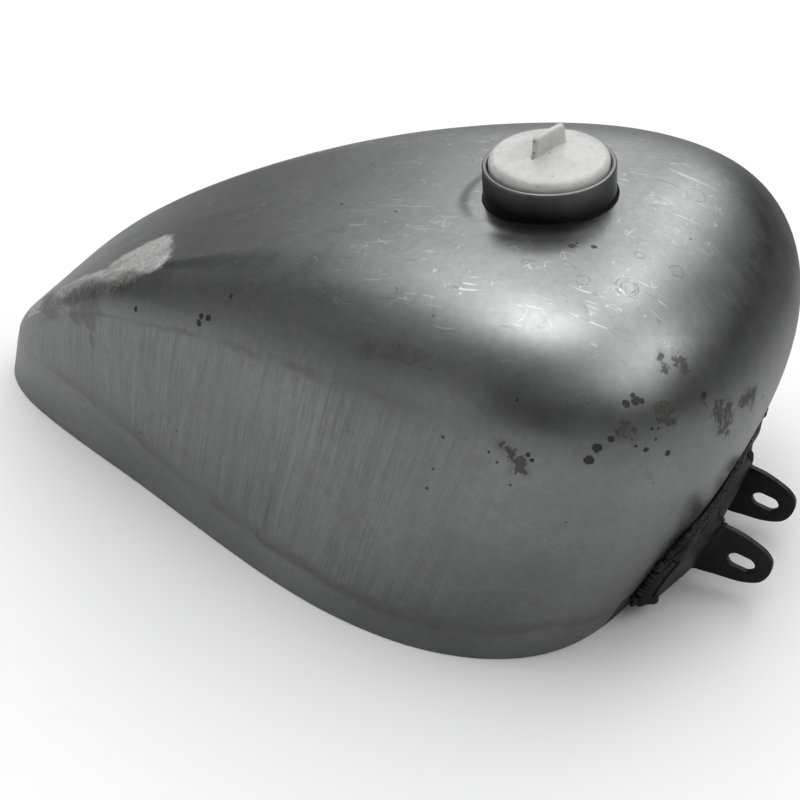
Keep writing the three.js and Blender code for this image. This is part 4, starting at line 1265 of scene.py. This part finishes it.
def dense(poly, step):
    """Closed outline with its edges divided to at most step."""
    out = []
    for i in range(len(poly)):
        a, b = np.array(poly[i]), np.array(poly[(i + 1) % len(poly)])
        count = max(1, int(np.ceil(np.linalg.norm(b - a) / step)))
        out += [tuple(a + (b - a) * j / count) for j in range(count)]
    return out


def spline(points, count):
    """Catmull-Rom through points."""
    p = np.array(points)
    p = np.array([2 * p[0] - p[1], *p, 2 * p[-1] - p[-2]])
    out = []
    for i in range(1, len(p) - 2):
        a, b, c, d = p[i - 1:i + 3]
        for k in range(count):
            t = k / count
            out.append(tuple(0.5 * (2 * b + (c - a) * t + (2 * a - 5 * b + 4 * c - d) * t * t
                                    + (3 * b - a - 3 * c + d) * t ** 3)))
    out.append(tuple(p[-2]))
    return out


# ------------------------------------------------------------------ front brackets
LEG_END = bracket_path(20.0)[2][-1]


def bracket(side):
    """Ear and outboard leg in one bent plate."""
    def to_s(x, z):
        return bracket_path(z)[0] - x

    ear = [(min(to_s(x, z), -0.2), z) for x, z in spline(EAR, 6)]
    lower = [(2.0, 7.2), (5.0, 7.6), (9.0, 8.6), (12.0, 7.9), (16.0, 9.8), (LEG_END * 0.6, 10.2),
             (LEG_END * 0.75, 9.4), (LEG_END - 5.0, 11.2), (LEG_END - 1.0, 12.2),
             (LEG_END, 13.8)]
    _, points, length = bracket_path(42.0)

    def lip(s):
        return lip_top(float(np.interp(s, length, points[:, 1])))

    upper = [(LEG_END, LIP_END - 3.0), (LEG_END - 1.0, LIP_END - 1.0),
             (LEG_END - 3.0, lip(LEG_END - 3.0) - 0.2)]
    upper += [(s, lip(s)) for s in np.linspace(LEG_END - 5.0, 5.5, 12)]
    upper += [(4.0, 47.2), (3.2, 45.5), (2.4, 41.5), (1.4, 39.0)]
    # slot: two half circles, 16 steps each
    slot, turn, half = [], math.radians(SLOT_TURN), (SLOT_L - SLOT_W) / 2
    for end in (1, -1):
        centre_x = SLOT_X + end * half * math.cos(turn)
        centre_z = SLOT_Z + end * half * math.sin(turn)
        for k in range(17):
            a = turn - end * math.pi / 2 + math.pi * k / 16
            slot.append((centre_x + SLOT_W / 2 * math.cos(a), centre_z + SLOT_W / 2 * math.sin(a)))
    slot = [(to_s(x, z), z) for x, z in dense(slot, 1.0)]
    verts, faces, edge = bent_plate(dense(ear + lower + upper, 0.9), [slot], bracket_surface(side))
    # the ears are not set quite alike
    ear_share = smooth((verts[:, 0] - 406.0) / 12.0)
    dx, dz = (1.60, -0.25) if side < 0 else (-1.56, -1.20)
    verts[:, 0] += dx * ear_share + bow(side, verts[:, 1], verts[:, 2])
    verts[:, 2] += dz * ear_share
    return verts, faces, edge


for side, name, node in ((-1, "right_front_ear", "right_ear_bracket"),
                         (1, "left_front_ear", "left_ear_bracket")):
    *mesh, edge = bracket(side)
    build(name, node, mesh, M_BLACK, sharp=40, tk_edge=edge)

# plate between the ears
half_w = EAR_Y - EAR_T / 2 - 0.3
cross_outline = [(-half_w, ROOT_Z0 + 0.3), (half_w, ROOT_Z0 + 0.3), (half_w, ROOT_Z1),
                 (half_w + 0.6, LIP_TOP), (-half_w - 0.6, LIP_TOP), (-half_w, ROOT_Z1)]
*mesh, edge = bent_plate(dense(cross_outline, 1.2), [], cross_surface)
build("front_crossplate_black", "front_cross_plate", mesh, M_BLACK, sharp=40, tk_edge=edge)


# ------------------------------------------------------------------ bracket welds
def bead(path, radius, seed, lump):
    """Lumpy weld bead following a path."""
    path = np.array(path, float)
    last, sides = len(path) - 1, 14
    verts = []
    for i, point in enumerate(path):
        t = path[min(i + 1, last)] - path[max(i - 1, 0)]
        t /= np.linalg.norm(t)
        up = np.array([0, 0, 1.0]) if abs(t[2]) < 0.9 else np.array([1.0, 0, 0])
        a = np.cross(t, up)
        a /= np.linalg.norm(a)
        b = np.cross(a, t)
        end = min(1.0, 0.35 + 0.65 * min(i, last - i) / 2.0)
        r = radius * end * (1 + lump * math.sin(i * 1.35 + seed) * 0.7
                            + lump * math.sin(i * 0.47 + seed * 2.1) * 0.6)
        for k in range(sides):
            turn = 2 * math.pi * k / sides
            verts.append(point + a * r * math.cos(turn) + b * r * math.sin(turn))
    return tube(verts, sides)


def bracket_beads(side):
    def on_plate(y, z):
        return max(nose_x(y, z) + PLATE_GAP + 1.2, plate_x(y, z) - 0.2)

    def lip_bow(y):
        return float(bow(side, y, lip_top(y)))

    lip, filling = [], []
    for y in np.linspace(0.2, FLANGE_Y - 1.0, 84):
        z = lip_top(y) + 0.8
        lip.append((on_plate(y, z) + lip_bow(y), y * side, z + 0.35 * math.sin(y * 0.7 + side)))
    # filling run between the lip and the skin
    for y in np.linspace(37.0, FLANGE_Y - 2.0, 40):
        z = lip_top(y) - 1.0
        filling.append((0.5 * (nose_x(y, z) + plate_x(y, z) + lip_bow(y)), y * side, z))
    flange = [(nose_x(FLANGE_Y + 0.8, z) + PLATE_GAP + 1.1,
               (FLANGE_Y + 1.0 + 0.3 * math.sin(z * 0.8)) * side, z)
              for z in np.linspace(LIP_END + 1.0, FLANGE_Z0 + 2.0, 34)]
    low_z = FLANGE_Z0 + 1.0
    lower = [(on_plate(y, low_z) + 0.6, y * side, low_z - 1.2)
             for y in np.linspace(FLANGE_Y + 2.0, FLANGE_Y - 12.0, 14)]
    # closing run in the corner above the ear
    corner = [(plate_x(EAR_Y, z) + 1.8, EAR_Y * side, z)
              for z in np.linspace(37.2, LIP_TOP + 1.0, 12)]
    return merge(
        bead(lip, 2.2, seed=0.4 + side, lump=0.15),
        bead(filling, 2.6 if side < 0 else 3.3, seed=5.0 + side, lump=0.10),
        bead(flange, 2.0, seed=2.0 + side, lump=0.05),
        bead(lower, 2.9, seed=3.0 + side, lump=0.34),
        bead(corner, 2.4, seed=1.0 + side, lump=0.30))


for side, name, node in ((-1, "right_bracket_bead", "right_bracket_weld"),
                         (1, "left_bracket_bead", "left_bracket_weld")):
    mesh = bracket_beads(side)
    build(name, node, mesh, M_BLACK, sharp=70, tk_edge=np.zeros(len(mesh[0])))

# ------------------------------------------------------------------ pieces that keep the CAD shape
for node, material in (
        ("frame_tunnel", M_STEEL_PLAIN), ("left_bottom_pan", M_STEEL_PLAIN),
        ("right_bottom_pan", M_STEEL_PLAIN), ("rear_tab", M_STEEL_PLAIN),
        ("rear_tab_weld", M_WELD), ("fuel_valve_bung", M_BUNG), ("fuel_valve_bung_cap", M_CAP)):
    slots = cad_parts[node].data.materials
    slots.clear()
    slots.append(material)


# ------------------------------------------------------------------ floor
def floor_material():
    """Pale floor; what the steel mirrors of it is painted darker, with a soft painted contact shadow
    beside the tank.
    """
    material, tree, pos = new_material("pale_floor")
    cloud = tree.noise(pos, 3.0, detail=3)
    x, y, _ = tree.separate(pos)
    # painted shadow: a soft dark patch in the mirrored floor beside the tank's foot
    shadow_patch_x, shadow_patch_y = (x - 0.10) * (1 / 0.085), (y + 0.150) * (1 / 0.030)
    patch = tree.math("EXPONENT", (shadow_patch_x * shadow_patch_x + shadow_patch_y * shadow_patch_y) * -1.0)
    distance = tree.math("SQRT", x * x + y * y)
    falloff = tree.mix_float(x.ramp(-0.25, 0.25), y.ramp(0.05, 0.5, low=1.0, high=0.95),
                             y.ramp(0.05, 0.5, low=1.0, high=0.42))
    mirrored = distance.ramp(0.22, 0.85, low=0.49, high=0.33) * falloff - patch * 0.20
    glossy = tree.add("ShaderNodeLightPath", {}, "Is Glossy Ray")
    shade(tree, tree.mix_float(glossy, 0.90 + cloud * 0.03, mirrored), 0.9,
          Specular_IOR_Level=0.1)
    return material


floor_mat = floor_material()
data = bpy.data.meshes.new("floor")
data.from_pydata([(x, y, -0.0004) for x, y in ((-6, -6), (6, -6), (6, 6), (-6, 6))], [],
                 [(0, 1, 2, 3)])
floor = bpy.data.objects.new("floor", data)
data.materials.append(floor_mat)
SCENE.collection.objects.link(floor)

# ------------------------------------------------------------------ world
# broad smooth lobes: azimuth from -Y towards +X and elevation in degrees, strength
LOBES = [
    (-180, 4, 0.127), (-150, 4, 0.255), (-90, 4, 0.178), (-60, 4, 0.199), (-30, 4, 0.313),
    (0, 4, 0.077), (30, 4, 0.131), (60, 4, 0.119), (90, 4, 0.057), (120, 4, 0.051),
    (-165, 20, 0.376), (-135, 20, 0.135), (-105, 20, 0.084), (-75, 20, 0.016), (135, 20, 0.068),
    (-180, 36, 0.926), (-150, 36, 0.632), (-60, 36, 0.134), (-30, 36, 0.093), (0, 36, 0.051),
    (30, 36, 0.147), (60, 36, 0.283), (90, 36, 0.585), (120, 36, 0.649), (150, 36, 0.248),
    (-165, 52, 0.123), (-129, 52, 0.807), (-93, 52, 0.081), (-57, 52, 0.041), (-21, 52, 0.032),
    (15, 52, 0.146), (51, 52, 0.420), (87, 52, 0.741), (123, 52, 0.404), (159, 52, 0.970),
    (-180, 66, 0.352), (-135, 66, 0.478), (-90, 66, 0.534), (-45, 66, 0.406), (0, 66, 0.068),
    (90, 66, 0.136), (135, 66, 0.119), (-180, 79, 0.292), (-108, 79, 0.620), (-36, 79, 0.712),
    (36, 79, 0.263), (108, 79, 0.274), (-180, 90, 0.589)]
# tighter accents, same columns: softboxes (positive) and dark flags (negative)
ACCENTS = [
    (-79, -3, -0.065), (143, -3, -0.205), (-59, -2, -0.082), (-124, 0, -0.325), (171, 1, -0.141),
    (106, 2, -0.068), (-97, 4, -0.224), (-4, 6, -0.167), (-29, 10, -0.031), (-114, 11, 0.224),
    (72, 16, -0.097), (39, 17, -0.132), (-176, 20, -0.044), (107, 24, -0.426), (-128, 26, -0.314),
    (155, 30, -0.052), (90, 32, 0.284), (-113, 33, -0.054), (-145, 34, 0.593), (118, 37, 1.121),
    (-170, 39, -0.620), (60, 43, 0.350), (173, 48, 1.325), (-82, 49, -0.091), (141, 49, -0.899),
    (136, 57, 0.456), (-172, 58, -0.305), (-34, 58, -0.212), (-119, 59, 0.237), (-51, 76, 0.872)]
LOBE_SHARP, ACCENT_SHARP = 29.0, 38.0
AMBIENT, DARKEST, BACKDROP = 0.042, 0.012, 1.0


def direction(azimuth, elevation):
    a, e = math.radians(azimuth), math.radians(elevation)
    return (math.sin(a) * math.cos(e), -math.cos(a) * math.cos(e), math.sin(e))


def studio():
    world = bpy.data.worlds.new("studio")
    SCENE.world = world
    world.use_nodes = True
    tree = Tree(world.node_tree)
    ray = tree.add("ShaderNodeTexCoord", {}, "Generated")
    lights = [(az, el, weight * LOBE_SHARP / 20.0, LOBE_SHARP) for az, el, weight in LOBES]
    lights += [(*accent, ACCENT_SHARP) for accent in ACCENTS]
    light = AMBIENT
    for azimuth, elevation, strength, sharpness in lights:
        facing = tree.vector("DOT_PRODUCT", ray, direction(azimuth, elevation))
        lobe = tree.math("EXPONENT", tree.math("MULTIPLY_ADD", facing, sharpness, -sharpness))
        light = tree.math("MULTIPLY_ADD", lobe, strength, light)
    camera_ray = tree.add("ShaderNodeLightPath", {}, "Is Camera Ray")
    strength = tree.mix_float(camera_ray, light.max(DARKEST), BACKDROP)
    background = tree.add("ShaderNodeBackground", {"Color": (1, 1, 1, 1), "Strength": strength})
    tree.node("ShaderNodeOutputWorld", {0: background})


studio()

# ------------------------------------------------------------------ camera
# lens and sensor in mm; distance from the target in mm; angles in degrees
LENS, SENSOR, DISTANCE = 83.73735, 36.0, 970.94
AZIMUTH, ELEVATION, ROLL = 26.708, 36.075, -1.6035
azimuth, roll = math.radians(AZIMUTH), math.radians(ROLL)
back = Vector(direction(AZIMUTH, ELEVATION))
level_right = Vector((math.cos(azimuth), math.sin(azimuth), 0))
level_up = back.cross(level_right)
right = level_right * math.cos(roll) + level_up * math.sin(roll)
up = -level_right * math.sin(roll) + level_up * math.cos(roll)
target = Vector(((239.748 + SHIFT) * MM, 0, 40.064 * MM))
lens = bpy.data.cameras.new("camera")
lens.sensor_width, lens.lens = SENSOR, LENS
lens.clip_start, lens.clip_end = 0.05, 60
camera = bpy.data.objects.new("camera", lens)
SCENE.collection.objects.link(camera)
pose = Matrix((right, up, back)).transposed().to_4x4()
pose.translation = target + back * (DISTANCE * MM)
camera.matrix_world = pose
SCENE.camera = camera
SCENE.view_settings.view_transform = "Standard"
